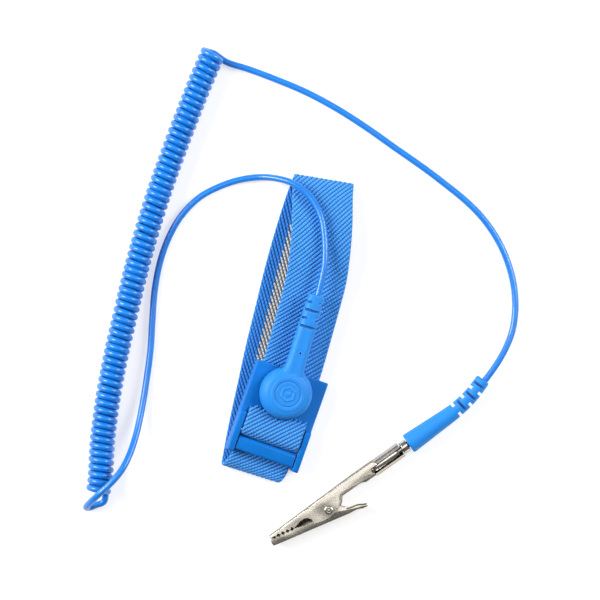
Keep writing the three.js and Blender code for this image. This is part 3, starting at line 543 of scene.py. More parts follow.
def yarn_ends(seed):
    """Cut yarns that stand out of the band's trimmed end, as short bent tubes in (along, across, height)."""
    draw = np.random.default_rng(seed)
    spacing = OUTER_ROWS * ROW_STEP
    points, faces = [], []
    first = (BAND_LENGTH - BAND_WIDTH / 2) / spacing
    for rib in range(math.ceil(first), math.floor(first + BAND_WIDTH / spacing) + 1):
        for level in (0.34, 0.12, -0.1):
            across = BAND_LENGTH - (rib + 0.5) * spacing + draw.normal(0, 0.16)
            if abs(across) > BAND_WIDTH / 2 - 0.4:
                continue
            cut = float(trimmed(across))
            out = draw.uniform(0.5, 1.3) * (1.0 if cut > BAND_LENGTH - 0.05 else 0.3)
            bend = draw.normal(0, 0.4)
            lift = draw.normal(0.15, 0.2)
            line = [(cut - 0.8, across - 0.7, level), (cut, across, level),
                    (cut + 0.5 * out, across + 0.35 * out + bend * 0.4, level + lift * 0.6),
                    (cut + 0.8 * out, across + 0.3 * out + bend, level + lift)]
            smooth = smooth_line(line, 0.25)
            radius = np.interp(np.linspace(0, 1, len(smooth)), [0, 0.8, 1], [0.3, 0.27, 0.12])
            rings = tube_rings(smooth, radius, 7)
            offset = sum(len(p) for p in points)
            faces += [tuple(i + offset for i in f) for f in skin(rings)]
            points.append(np.vstack(rings))
    return np.vstack(points), faces


# %% Build the band
def build_band(outer_finish, inner_finish):
    outer, outer_quads, width = woven_face(OUTER_SLANT, OUTER_ROWS, 1)
    inner, inner_quads, _ = woven_face(INNER_SLANT, INNER_ROWS, -1)
    shift = len(outer)
    cells = np.vstack([outer, inner])
    last = shift - width
    caps = []
    for row in (0, last):
        for i in range(width - 1):
            caps.append((row + i, row + i + 1, shift + row + i + 1, shift + row + i))
    faces = [*outer_quads.tolist(), *caps, *(inner_quads[:, ::-1] + shift).tolist()]
    marks = [0] * (len(outer_quads) + len(caps)) + [1] * len(inner_quads)
    _, keep, merged = np.unique(np.round(cells * 1000).astype(np.int64), axis=0, return_index=True,
                                return_inverse=True)
    merged = merged.ravel()
    cells = cells[keep]
    kept_faces, kept_marks = [], []
    for face, mark in zip(faces, marks):
        corners = list(dict.fromkeys(int(merged[i]) for i in face))
        if len(corners) > 2:
            kept_faces.append(corners)
            kept_marks.append(mark)
    ends, end_faces = yarn_ends(seed=7)
    kept_faces += [[i + len(cells) for i in f] for f in end_faces]
    kept_marks += [0] * len(end_faces)
    cells = np.vstack([cells, ends])
    centre, side, face_up = band_frame(cells[:, 0])
    beyond = np.clip(cells[:, :1] - BAND_LENGTH, 0, None)
    forward = np.cross(side, face_up) * -1
    points = centre + side * cells[:, 1:2] + face_up * cells[:, 2:3] + forward * beyond
    made = piece("band_webbing", points, kept_faces, outer_finish, smooth_angle=75)
    made.data.materials.append(inner_finish)
    made.data.polygons.foreach_set("material_index", kept_marks)
    thread = made.data.attributes.new("thread", "FLOAT_VECTOR", "POINT")
    thread.data.foreach_set("vector", cells.astype(np.float32).ravel())
    return made


# %% [markdown]
# ## Band: nylon-covered elastic
#
# The yarn is textured nylon or polyester: thousands of crimped filaments, so it is matt with a soft
# sheen at grazing light, and dyed right through. The gap between two ribs is painted darker and more
# saturated: painted shade, for the light that is lost and bounces in it. On the inside a stripe of
# silver-coated yarn carries the charge away. It is grey, a little shiny, and its edge steps from rib to
# rib because the coated ends take part in the same weave.

# %% Dyed and silver-coated yarn
STITCH = 0.62  # mm from one yarn float to the next along a rib
STRIPE_HALF = 5.5


def woven_yarn(name, slant, rib_pitch, crest, painted_gap_shade, stripe=False):
    made, tree, shader = material(name, 0.78, IOR=1.5, Sheen_Weight=0.15, Sheen_Roughness=0.45)
    thread = add(tree, "Attribute", {"attribute_name": "thread"})
    axes = add(tree, "SeparateXYZ", links={0: thread.outputs["Vector"]})
    along, across = axes.outputs[0], axes.outputs[1]
    skew = add(tree, "Math", {"operation": "MULTIPLY", 1: -slant}, {0: across})
    level = add(tree, "Math", {"operation": "ADD"}, {0: skew.outputs[0], 1: along})
    ribs = add(tree, "Math", {"operation": "DIVIDE", 1: rib_pitch}, {0: level.outputs[0]})
    part = add(tree, "Math", {"operation": "FRACT"}, {0: ribs.outputs[0]})
    # 0 on the crest of a rib, 1 in the gap beside it.
    off_crest = add(tree, "Math", {"operation": "SUBTRACT", 1: 0.5}, {0: part.outputs[0]})
    away = add(tree, "Math", {"operation": "ABSOLUTE"}, {0: off_crest.outputs[0]})
    gap = add(tree, "MapRange", {"From Min": 0.22, "From Max": 0.48}, {"Value": away.outputs[0]})
    # Yarn floats lie across the rib like the strands of a rope.
    twist = add(tree, "Math", {"operation": "MULTIPLY", 1: 1.15}, {0: off_crest.outputs[0]})
    steps = add(tree, "Math", {"operation": "DIVIDE", 1: STITCH}, {0: across})
    floats = add(tree, "Math", {"operation": "ADD"}, {0: steps.outputs[0], 1: twist.outputs[0]})
    wave = add(tree, "Math", {"operation": "MULTIPLY", 1: 2 * math.pi}, {0: floats.outputs[0]})
    strand = add(tree, "Math", {"operation": "SINE"}, {0: wave.outputs[0]})
    seam = add(tree, "MapRange", {"From Min": 0.1, "From Max": -1.0}, {"Value": strand.outputs[0]})
    fuzz = add(tree, "TexNoise", {"Scale": 9.0, "Detail": 4.0, "Roughness": 0.7},
               {"Vector": thread.outputs["Vector"]})
    drift = add(tree, "TexNoise", {"Scale": 0.35, "Detail": 2.0}, {"Vector": thread.outputs["Vector"]})

    yarn = add(tree, "Mix", {"data_type": "RGBA", 6: linear(crest[0]), 7: linear(crest[1])},
               {0: fuzz.outputs["Fac"]})
    uneven = add(tree, "Mix", {"data_type": "RGBA", "blend_type": "MULTIPLY", 0: 0.5, 7: linear("#9FC6EE")},
                 {6: yarn.outputs[2]})
    patchy = add(tree, "Mix", {"data_type": "RGBA"},
                 {0: drift.outputs["Fac"], 6: yarn.outputs[2], 7: uneven.outputs[2]})
    # Painted shade: the gaps between ribs and the seams between strands take the darker shade colour.
    colour, painted_gap_shade_linear = patchy.outputs[2], linear(painted_gap_shade)
    deep = add(tree, "RGB")
    deep.outputs[0].default_value = painted_gap_shade_linear
    painted_gap_shade_colour = deep.outputs[0]
    if stripe:
        # The stripe's edge steps with the ribs.
        ragged = add(tree, "Math", {"operation": "MULTIPLY", 1: 1.5}, {0: off_crest.outputs[0]})
        place = add(tree, "Math", {"operation": "ADD"}, {0: across, 1: ragged.outputs[0]})
        off_middle = add(tree, "Math", {"operation": "ABSOLUTE"}, {0: place.outputs[0]})
        silver = add(tree, "MapRange", {"From Min": STRIPE_HALF + 0.1, "From Max": STRIPE_HALF - 0.1},
                     {"Value": off_middle.outputs[0]})
        coated = add(tree, "Mix", {"data_type": "RGBA", 6: linear("#ACAEAC"), 7: linear("#D6D7D5")},
                     {0: fuzz.outputs["Fac"]})
        striped = add(tree, "Mix", {"data_type": "RGBA"},
                      {0: silver.outputs[0], 6: colour, 7: coated.outputs[2]})
        # In the stripe the painted gap shade is a darker grey.
        shade = add(tree, "Mix", {"data_type": "RGBA", 7: linear("#6E706E")},
                    {0: silver.outputs[0], 6: painted_gap_shade_colour})
        colour, painted_gap_shade_colour = striped.outputs[2], shade.outputs[2]
        shine = add(tree, "MapRange", {"To Min": 0.0, "To Max": 0.3}, {"Value": silver.outputs[0]})
        tree.links.new(shine.outputs[0], shader.inputs["Metallic"])
        sleek = add(tree, "MapRange", {"To Min": 0.8, "To Max": 0.45}, {"Value": silver.outputs[0]})
        tree.links.new(sleek.outputs[0], shader.inputs["Roughness"])
    strand_seam_shade = add(tree, "Math", {"operation": "MULTIPLY", 1: 0.55}, {0: seam.outputs[0]})
    dark = add(tree, "Math", {"operation": "MAXIMUM"}, {0: gap.outputs[0], 1: strand_seam_shade.outputs[0]})
    shown = add(tree, "Mix", {"data_type": "RGBA"}, {0: dark.outputs[0], 6: colour, 7: painted_gap_shade_colour})
    tree.links.new(shown.outputs[2], shader.inputs["Base Color"])
    rough = add(tree, "Math", {"operation": "MULTIPLY", 1: 0.35}, {0: fuzz.outputs["Fac"]})
    relief = add(tree, "Math", {"operation": "SUBTRACT"}, {0: rough.outputs[0], 1: seam.outputs[0]})
    bump = add(tree, "Bump", {"Strength": 0.5, "Distance": 0.00012}, {"Height": relief.outputs[0]})
    tree.links.new(bump.outputs[0], shader.inputs["Normal"])
    return made


outer_yarn = woven_yarn("dyed_nylon_webbing", OUTER_SLANT, OUTER_ROWS * ROW_STEP, ("#2A98F0", "#5CB8FF"),
                        "#00489A")
inner_yarn = woven_yarn("nylon_webbing_with_silver_stripe", INNER_SLANT, INNER_ROWS * ROW_STEP,
                        ("#1C84E0", "#3C9CF2"), "#004490", stripe=True)
band = build_band(outer_yarn, inner_yarn)
print("band faces", len(band.data.polygons))
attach(band, "wristband")
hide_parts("band")

# %% [markdown]
# ## Turned pieces, plates and cuts
#
# Small moulded and pressed parts are made of a few simple solids. A turned one comes from its
# half-section. A plate comes from its outline, with its rims rounded over by a small radius, because
# no moulding or pressing has a perfectly sharp rim and the eye finds one by the thin line of light
# along it. Solids are then joined and cut like clay.

# %% Outlines, solids, joins and cuts
def rounded(outline, radius, steps=3, closed=True):
    """An outline whose corners are cut back by up to radius and replaced by short curves."""
    outline = np.array(outline, float)
    count = len(outline)
    points = []
    for i, corner in enumerate(outline):
        if not closed and i in (0, count - 1):
            points.append(corner)
            continue
        before, after = outline[i - 1] - corner, outline[(i + 1) % count] - corner
        start = corner + before * min(radius / max(np.linalg.norm(before), 1e-6), 0.45)
        end = corner + after * min(radius / max(np.linalg.norm(after), 1e-6), 0.45)
        for t in np.linspace(0, 1, steps + 1):
            points.append((1 - t) ** 2 * start + 2 * t * (1 - t) * corner + t ** 2 * end)
    return np.array(points)


def turned(profile, sides=48, closed=False):
    """Points and faces of a turned piece about Z, from its (radius, height) half-section."""
    turn = np.linspace(0, 2 * math.pi, sides, endpoint=False)
    circle = np.column_stack([np.cos(turn), np.sin(turn)])
    rings = [np.column_stack([circle * radius, np.full(sides, height)]) for radius, height in profile]
    return np.vstack(rings), skin(rings, closed)


def plate(outline, low, high, edge=0.2, upright=False):
    """Points and faces of an (x, y) outline raised from low to high, or of a (y, z) one if upright."""
    outline = np.array(outline, float)
    before = outline - np.roll(outline, 1, axis=0)
    after = np.roll(outline, -1, axis=0) - outline
    unit = lambda rows: rows / np.maximum(np.linalg.norm(rows, axis=1), 1e-9)[:, None]
    bisector = unit(unit(before) + unit(after))
    area = np.sum(outline[:, 0] * np.roll(outline[:, 1], -1) - outline[:, 1] * np.roll(outline[:, 0], -1))
    inwards = np.column_stack([-bisector[:, 1], bisector[:, 0]]) * np.sign(area)
    quarter = np.radians([0, 30, 60, 90])
    levels = [(edge * (1 - math.sin(a)), low + edge * (1 - math.cos(a))) for a in quarter]
    levels += [(inset, low + high - level) for inset, level in reversed(levels)]
    order = [2, 0, 1] if upright else [0, 1, 2]
    rings = [np.column_stack([outline + inset * inwards, np.full(len(outline), level)])[:, order]
             for inset, level in levels]
    return np.vstack(rings), skin(rings)


def box(low, high):
    """Points and faces of a plain cutter."""
    return plate([(low[0], low[1]), (high[0], low[1]), (high[0], high[1]), (low[0], high[1])],
                 low[2], high[2], edge=0.001)


def solid(name, shape, axes, finish, smooth_angle=40):
    """A piece from points and faces in its own axes."""
    return piece(name, placed(shape[0], axes), shape[1], finish, smooth_angle)


def change(body, how, shapes, axes, smooth_angle=40):
    """Joins shapes to a piece ("UNION"), cuts them out ("DIFFERENCE") or keeps what they share."""
    for shape in shapes:
        tool = solid("tool", shape, axes, body.data.materials[0])
        step = body.modifiers.new("step", "BOOLEAN")
        step.operation, step.solver, step.object = how, "EXACT", tool
        graph = bpy.context.evaluated_depsgraph_get()
        result = bpy.data.meshes.new_from_object(body.evaluated_get(graph))
        body.modifiers.clear()
        body.data = result
        bpy.data.objects.remove(tool)
    body.data.shade_smooth()
    body.data.set_sharp_from_angle(angle=math.radians(smooth_angle))
    return body


def finished(made, body, node):
    """Hangs a piece on its body in place of the plain one, and prints its face count."""
    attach(made, body)
    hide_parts(node)
    print(node, len(made.data.polygons), "faces")


print("helpers ready")

# %% [markdown]
# ## Buckle: injection-moulded plastic
#
# The frame and the clamp door are a rigid plastic such as ABS, coloured in the pellet and moulded
# against spark-eroded steel. That leaves an even, very fine grain: broad soft highlights, no
# mirror-like ones. Walls a little thinner than the deck glow where the light comes through their rims.

# %% Moulded plastic
def moulded_plastic(name, deep, fair, roughness, grain, **sockets):
    made, tree, shader = material(name, roughness, IOR=1.5, **sockets)
    place = add(tree, "TexCoord")
    flow = add(tree, "TexNoise", {"Scale": 140.0, "Detail": 3.0, "Roughness": 0.55},
               {"Vector": place.outputs["Object"]})
    tone = add(tree, "Mix", {"data_type": "RGBA", 6: linear(deep), 7: linear(fair)},
               {0: flow.outputs["Fac"]})
    # Painted highlight: rims and corners are painted paler, standing in for the light that comes through the
    # thin rims.
    bevel = add(tree, "Bevel", {"samples": 4, "Radius": 0.0005})
    shape = add(tree, "NewGeometry")
    square = add(tree, "VectorMath", {"operation": "DOT_PRODUCT"},
                 {0: bevel.outputs["Normal"], 1: shape.outputs["Normal"]})
    rim = add(tree, "MapRange", {"From Min": 0.995, "From Max": 0.8, "To Max": 0.4},
              {"Value": square.outputs["Value"]})
    painted_rim_highlight = add(tree, "Mix", {"data_type": "RGBA", 7: linear("#7CC0FF")},
               {0: rim.outputs[0], 6: tone.outputs[2]})
    # Painted shade: slots and corners are painted darker, where little light gets in.
    tree.links.new(with_painted_shade(tree, painted_rim_highlight.outputs[2], "#004C98", 0.0011), shader.inputs["Base Color"])
    # The grain is drawn at 0.25 mm, some four times its real size, so that it shows.
    fine = add(tree, "TexNoise", {"Scale": 4000.0, "Detail": 2.0}, {"Vector": place.outputs["Object"]})
    bump = add(tree, "Bump", {"Strength": grain, "Distance": 0.00006}, {"Height": fine.outputs["Fac"]})
    tree.links.new(bump.outputs[0], shader.inputs["Normal"])
    return made


abs_plastic = moulded_plastic("moulded_abs", "#0064B8", "#0074CE", 0.5, 0.25, Specular_IOR_Level=0.15)
soft_pvc = moulded_plastic("overmoulded_soft_pvc", "#1A80D8", "#268CE4", 0.5, 0.35,
                          Specular_IOR_Level=0.3, Subsurface_Weight=0.08,
                          Subsurface_Radius=(0.0004, 0.0008, 0.0016))

# %% [markdown]
# ## Buckle: the frame
#
# A deck carries the stud. Two cheeks run down both sides and stand up beside the clamp door, which
# turns in a blind hole in each. The band's tail comes up through the gap between deck and door.

# %% Build the frame
LEFT = BUCKLE_OFFSET - HALF_OPENING - CHEEK_WIDTH
RIGHT = BUCKLE_OFFSET + HALF_OPENING + CHEEK_WIDTH
INNER_LEFT, INNER_RIGHT = BUCKLE_OFFSET - HALF_OPENING, BUCKLE_OFFSET + HALF_OPENING
TAIL, HEAD_END = -BUCKLE_TAIL_END, BUCKLE_HEAD_END
CHEEK_END = TAIL + 13.7
TRUNNION_RADIUS, TRUNNION_LENGTH = 0.8, 1.0
POST_RADIUS = 0.7


def across_axes(along, up):
    """Axes whose Z runs across the buckle, through a place in its long section."""
    return BUCKLE_AXES @ Matrix.Translation((0, along, up)) @ Matrix.Rotation(math.pi / 2, 4, "Y")


def rod(radius, low, high, sides=32):
    return turned([(radius, low), (radius, high)], sides)


def build_frame():
    deck = rounded([(LEFT, DECK_EDGE), (RIGHT, DECK_EDGE), (RIGHT, HEAD_END), (LEFT, HEAD_END)], 0.5)
    skirt = SKIRT_BOTTOM
    low_top = DECK_TOP - 0.03
    cheek = rounded([
        (TAIL, skirt), (HEAD_END - 0.03, skirt), (HEAD_END - 0.03, low_top), (CHEEK_END + 0.4, low_top),
        (CHEEK_END, CHEEK_TOP), (TAIL, CHEEK_TOP),
    ], 0.8, steps=5)
    rib = [(DECK_EDGE + 0.01, skirt + 0.5), (DECK_EDGE + 1.6, skirt + 0.5), (DECK_EDGE + 1.6, DECK_TOP - 0.5),
           (DECK_EDGE + 0.01, DECK_TOP - 0.5)]
    made = solid("buckle_frame_abs", plate(deck, DECK_BOTTOM, DECK_TOP, 0.25), BUCKLE_AXES, abs_plastic)
    change(made, "UNION", [
        plate(cheek, LEFT - 0.03, INNER_LEFT, 0.3, upright=True),
        plate(cheek, INNER_RIGHT, RIGHT + 0.03, 0.3, upright=True),
        plate(rib, LEFT + 1, RIGHT - 1, 0.1, upright=True),
    ], BUCKLE_AXES)
    hole = TRUNNION_RADIUS + GAP
    reach = TRUNNION_LENGTH + GAP
    change(made, "DIFFERENCE", [rod(hole, INNER_LEFT - reach, INNER_LEFT + 1),
                                rod(hole, INNER_RIGHT - 1, INNER_RIGHT + reach)],
           across_axes(PIVOT_ALONG, PIVOT_HEIGHT))
    return change(made, "DIFFERENCE", [rod(POST_RADIUS + GAP, DECK_BOTTOM - 1, DECK_TOP + 1)], BUCKLE_AXES)


finished(build_frame(), "wristband", "buckle_frame")

# %% [markdown]
# ## Buckle: the clamp door
#
# A bar with a round back turns on two stubs. Shut, its belly presses the band against the rest of
# the loop. Its lip stands out for a fingernail.

# %% Build the door
def arc(along, up, radius, start, end, steps):
    turn = np.radians(np.linspace(start, end, steps + 1))
    return list(zip(along + radius * np.cos(turn), up + radius * np.sin(turn)))


def build_door():
    half = HALF_OPENING - GAP
    nose = 0.7
    top = PIVOT_HEIGHT + DOOR_RADIUS
    section = arc(PIVOT_ALONG, PIVOT_HEIGHT, DOOR_RADIUS, -120, 90, 24)
    section += arc(PIVOT_ALONG - 3.2 + nose, top - nose, nose, 90, 270, 12)
    made = solid("clamp_door_abs", plate(section, BUCKLE_OFFSET - half, BUCKLE_OFFSET + half, 0.25, True),
                 BUCKLE_AXES, abs_plastic)
    reach = half + TRUNNION_LENGTH
    return change(made, "UNION", [rod(TRUNNION_RADIUS, BUCKLE_OFFSET - reach, BUCKLE_OFFSET + reach)],
                  across_axes(PIVOT_ALONG, PIVOT_HEIGHT))


finished(build_door(), "clamp_door", "clamp_door")

# %% [markdown]
# ## Head: soft plastic moulded over the socket
#
# The head is one shot of soft PVC or elastomer round the press-stud socket, the 1 megohm resistor and
# the cord's end. Its top is a flat disc with a fine step, an engraved ring and a small emblem, here a
# plain hexagon and dot. A flat-topped neck holds the resistor. Slots cut alternately from the top and
# from the sides let its end bend with the cord. The pinhole is where a pin held the resistor in the
# mould.

# %% Build the head
DISC_RADIUS = 5.5
NECK_LENGTH, NECK_START = 33.75, 4.7
SLOT_WIDTH, SLOT_CORE = 1.0, 1.15
CAVITY = [  # the room inside for the socket, a hair bigger than it
    (5.1, HEAD_BOTTOM - 1), (5.1, DECK_TOP + 1.7), (3.6, DECK_TOP + 1.7), (3.6, DECK_TOP + 4.4),
    (0.02, DECK_TOP + 4.4),
]


def emblem(radius, x, y):
    """Relief on the disc: an engraved ring, and a raised hexagon and dot inside it."""
    groove = -0.28 * np.exp(-((radius - 4.2) / 0.24) ** 4)
    axes = [np.radians(a) for a in (0, 60, 120)]
    hexagon = np.max([abs(x * np.cos(a) + y * np.sin(a)) for a in axes], axis=0)
    raised = 0.2 * np.exp(-((hexagon - 2.0) / 0.26) ** 4) + 0.2 * np.exp(-(radius / 0.75) ** 4)
    return groove + raised - 0.08 * np.exp(-(radius / 4.2) ** 8)


def dome():
    turn = np.linspace(0, 2 * math.pi, 120, endpoint=False)
    rim = HEAD_BOTTOM + 1.5
    profile = [(r, HEAD_TOP) for r in np.arange(0.12, DISC_RADIUS - 0.1, 0.12)]
    profile += [(DISC_RADIUS, HEAD_TOP - 0.02), (DISC_RADIUS + 0.07, HEAD_TOP - 0.1)]
    slope_top = HEAD_TOP - 0.16
    for a in np.radians(np.linspace(86, 0, 22)):
        out = DISC_RADIUS + 0.12 + (HEAD_RADIUS - DISC_RADIUS - 0.12) * math.cos(a) ** 0.9
        profile.append((out, rim + (slope_top - rim) * math.sin(a)))
    profile += [(HEAD_RADIUS, HEAD_BOTTOM + 0.35), (HEAD_RADIUS - 0.1, HEAD_BOTTOM + 0.1),
                (HEAD_RADIUS - 0.35, HEAD_BOTTOM)]
    rings = []
    for radius, height in profile:
        x, y = radius * np.cos(turn), radius * np.sin(turn)
        relief = emblem(radius, x, y) if radius < DISC_RADIUS - 0.2 and height > rim else 0 * x
        rings.append(np.column_stack([x, y, height + relief]))
    return np.vstack(rings), skin(rings)


def neck():
    turn = np.linspace(0, 2 * math.pi, 48, endpoint=False)
    along = np.concatenate([np.arange(NECK_START, NECK_LENGTH - 0.5, 0.4), NECK_LENGTH - 0.5 + np.array(
        [0, 0.2, 0.35, 0.45, 0.5])])
    rings = []
    for v in along:
        share = (v - NECK_START) / (NECK_LENGTH - NECK_START)
        half = 3.3 - 0.5 * share + 0.8 * math.exp(-max(v - 7.4, 0) / 0.9)
        tuck = 0.5 - math.sqrt(max(0.25 - max(v - NECK_LENGTH + 0.5, 0) ** 2, 0))  # round end
        # The top is flatter than the sides are, with a soft shoulder between.
        power = np.where(np.sin(turn) > 0, 2 / 2.7, 2 / 2.2)
        x = (half - tuck) * np.sign(np.cos(turn)) * np.abs(np.cos(turn)) ** power
        z = (2.55 - tuck) * np.sign(np.sin(turn)) * np.abs(np.sin(turn)) ** power
        z -= np.where(z > 1, 0.22 * np.exp(-(x / 1.2) ** 4) * min(1, max(0, 24 - v)), 0)
        rings.append(np.column_stack([x, np.full(48, v), NECK_HEIGHT + z]))
    return np.vstack(rings), skin(rings)


def relief_slots(along, full):
    """Cutters for one slot. A full one leaves a flat core, and the others leave an upright one."""
    half = SLOT_WIDTH / 2
    cutters = []
    for low, high in ((-5, -SLOT_CORE), (SLOT_CORE, 5)):
        if full:
            cutters.append(box((-5, along - half, low), (5, along + half, high)))
        else:
            cutters.append(box((low, along - half, -5), (high, along + half, 5)))
    return cutters


def build_head():
    made = solid("snap_head_soft_pvc", dome(), HEAD_AXES, soft_pvc, 50)
    change(made, "UNION", [neck()], HEAD_AXES, 50)
    slots = [cutter for i in range(4) for cutter in relief_slots(NECK_LENGTH - 2.6 - 2.75 * i, i % 2 == 1)]
    change(made, "DIFFERENCE", slots, HEAD_AXES @ Matrix.Translation((0, 0, NECK_HEIGHT)), 50)
    pinhole = HEAD_AXES @ Matrix.Translation((0, 14, 0))
    change(made, "DIFFERENCE", [rod(0.35, NECK_HEIGHT, HEAD_TOP + 2)], pinhole, 50)
    change(made, "DIFFERENCE", [turned(CAVITY, 64)], HEAD_AXES, 50)
    along_neck = HEAD_AXES @ Matrix.Translation((0, 0, NECK_HEIGHT)) @ Matrix.Rotation(-math.pi / 2, 4, "X")
    return change(made, "DIFFERENCE", [rod(1.45, 0.5, 21.3)], along_neck, 50)


finished(build_head(), "snap_head", "snap_cap")

# %% [markdown]
# ## Boot: the same soft plastic round the plug
#
# A tapering round boot, bent a little where the cord pulls it. It has the same alternate slots.

# %% Build the boot
PLUG_AXES = Matrix.Translation((42.8, -2.4, 3.75)) @ Matrix.Rotation(math.radians(234.8), 4, "Z")
PLUG_TURNED = PLUG_AXES @ Matrix.Rotation(math.pi / 2, 4, "Y")
BOOT_LINE = [(0, 0, 0), (-9.6, 0, 0), (-19.1, -0.1, 0), (-26, -1.1, 0), (-32.4, -3.1, 0)]


def build_boot():
    line = smooth_line(BOOT_LINE, 0.4)
    run = np.linspace(0, length_of(line), len(line))
    radius = np.interp(run, [0, 19.1, run[-1]], [3.45, 2.6, 2.4])
    for end in (run, run[-1] - run):
        radius -= 0.35 - np.sqrt(np.clip(0.1225 - np.clip(0.35 - end, 0, 0.35) ** 2, 0, None))
    rings = tube_rings(line, radius, 48)
    made = solid("clip_boot_soft_pvc", (np.vstack(rings), skin(rings)), PLUG_AXES, soft_pvc, 50)
    for i in range(6):
        at = length_of(line) - 2.3 - 2.2 * i
        centre = [float(np.interp(at, run, line[:, k])) for k in range(3)]
        ahead = line[min(int(at / 0.4) + 3, len(line) - 1)] - line[int(at / 0.4) - 3]
        turn = math.atan2(ahead[1], ahead[0]) - math.pi / 2
        axes = PLUG_AXES @ Matrix.Translation(centre) @ Matrix.Rotation(turn, 4, "Z")
        change(made, "DIFFERENCE", relief_slots(0, i % 2 == 0), axes, 50)
    return change(made, "DIFFERENCE", [rod(1.4, -8, 1)], PLUG_TURNED, 50)


finished(build_boot(), "lead", "clip_boot")

# %% [markdown]
# ## Plug and clip: nickel-plated metal
#
# The plug is turned from brass bar and the clip is pressed from thin steel strip. Both are barrel-
# plated with nickel, which is warm grey and bright, but not a mirror: tumbling against other parts
# leaves fine scuffs, and the plate is a little duller where the steel was bent.

# %% Nickel plate, tumbled
def plated_nickel(name, dark, fair, roughness, scuff):
    # Plated metal loses some light at a grazing angle, so its edges stand out darker.
    made, tree, shader = material(name, roughness, metallic=1.0, Specular_Tint=linear("#6F6A62"))
    place = add(tree, "TexCoord")
    cloud = add(tree, "TexNoise", {"Scale": 180.0, "Detail": 3.0, "Roughness": 0.6},
                {"Vector": place.outputs["Object"]})
    tone = add(tree, "Mix", {"data_type": "RGBA", 6: linear(dark), 7: linear(fair)},
               {0: cloud.outputs["Fac"]})
    # Painted shade: insides and hollows are painted darker, where little light gets in.
    tree.links.new(with_painted_shade(tree, tone.outputs[2], "#2E2B26", 0.0016), shader.inputs["Base Color"])
    dull = add(tree, "MapRange", {"To Min": roughness * 0.75, "To Max": roughness * 1.35},
               {"Value": cloud.outputs["Fac"]})
    tree.links.new(dull.outputs[0], shader.inputs["Roughness"])
    # Two sizes of unevenness: pressed sheet is wavy over millimetres, and scuffed over tenths.
    wave = add(tree, "TexNoise", {"Scale": 110.0, "Detail": 1.0}, {"Vector": place.outputs["Object"]})
    wavy = add(tree, "Bump", {"Strength": 0.22, "Distance": 0.002}, {"Height": wave.outputs["Fac"]})
    fine = add(tree, "TexNoise", {"Scale": 3500.0, "Detail": 3.0}, {"Vector": place.outputs["Object"]})
    bump = add(tree, "Bump", {"Strength": scuff, "Distance": 0.00005},
               {"Height": fine.outputs["Fac"], "Normal": wavy.outputs[0]})
    tree.links.new(bump.outputs[0], shader.inputs["Normal"])
    return made


nickel_plate = plated_nickel("nickel_plated_turned_brass", "#D9D4CA", "#F3F0EA", 0.16, 0.1)
plated_steel = plated_nickel("nickel_plated_pressed_steel", "#BEB7AA", "#E6DFD2", 0.24, 0.3)
stainless = plated_nickel("drawn_stainless_steel", "#C4C5C4", "#E2E2E0", 0.3, 0.25)
spring_brass = plated_nickel("hard_drawn_brass_wire", "#B88A3A", "#D9AE5C", 0.28, 0.2)

# %% [markdown]
# ## Plug pin and its spring
#
# The pin's collar is polished. In front of it a sleeve of four bowed leaves grips the clip's barrel.

# %% Turn the pin and slit the sleeve
PIN_RADIUS, PIN_LENGTH, LANTERN = 1.1, 16.0, 1.9
COLLAR_START, COLLAR_END = GAP, GAP + 2.4

pin = [
    (PIN_RADIUS - 0.2, -7.6), (PIN_RADIUS, -7.4), (PIN_RADIUS, COLLAR_START), (1.9, COLLAR_START),
    (2.05, COLLAR_START + 0.15), (2.05, COLLAR_END - 0.75), (1.93, COLLAR_END - 0.65),
    (1.93, COLLAR_END - 0.45), (2.05, COLLAR_END - 0.35), (2.05, COLLAR_END - 0.15), (1.9, COLLAR_END),
    (PIN_RADIUS, COLLAR_END), (PIN_RADIUS, PIN_LENGTH - 2), (LANTERN - 0.35, PIN_LENGTH - 2),
    (LANTERN - 0.2, PIN_LENGTH - 1.85), (LANTERN - 0.2, PIN_LENGTH - 0.9), (1.2, PIN_LENGTH - 0.35),
    (0.6, PIN_LENGTH - 0.08), (0.2, PIN_LENGTH),
]
finished(solid("plug_pin_nickel", turned(pin, 64), PLUG_TURNED, nickel_plate), "lead", "plug_pin")


def build_plug_spring():
    start, end = COLLAR_END + 1.5, PIN_LENGTH - 2 - GAP
    wall = 0.25
    run = np.linspace(start, end, 25)
    swell = np.sin(np.pi * (run - start) / (end - start)) ** 0.45
    outer = 1.66 + (LANTERN - 1.66) * swell
    section = [(r, z) for r, z in zip(outer, run)] + [(r - wall, z) for r, z in zip(outer[::-1], run[::-1])]
    made = solid("plug_spring_brass", turned(section, 64, closed=True), PLUG_TURNED, nickel_plate)
    for turn in (45, 135):
        axes = PLUG_AXES @ Matrix.Rotation(math.radians(turn), 4, "X")
        change(made, "DIFFERENCE", [box((start + 1, -3, -0.2), (end - 1, 3, 0.2))], axes)
    return made


finished(build_plug_spring(), "plug_spring", "plug_spring")

# %% [markdown]
# ## Clip: the fixed jaw
#
# One blank is rolled into a barrel at one end and bent into a channel at the other. The barrel's two
# edges do not meet: the open seam is dark inside. The bend along the jaw's back is rounded on the
# outside, while its free edges are as sharp as the press left them. So the channel is a rounded shape
# first, and is then trimmed by the outline with its teeth.

# %% Build the fixed jaw
SHEET = 0.5
BARREL_START, BARREL_END = 3.0, 14.2
BARREL_BORE, BARREL_RADIUS = 2.2, 2.6
JAW_HALF, JAW_TIP = 3.0, 55.2
RIVET_AT = (33.9, 2.5)


def teeth(start, end, count, depth):
    """Saw teeth between two points of an outline."""
    start, end = np.array(start, float), np.array(end, float)
    points = []
    for i in range(count):
        at = lambda share: start + (end - start) * (i + share) / count
        points += [at(0.1), at(0.55) + (0, depth), at(0.95)]
    return points


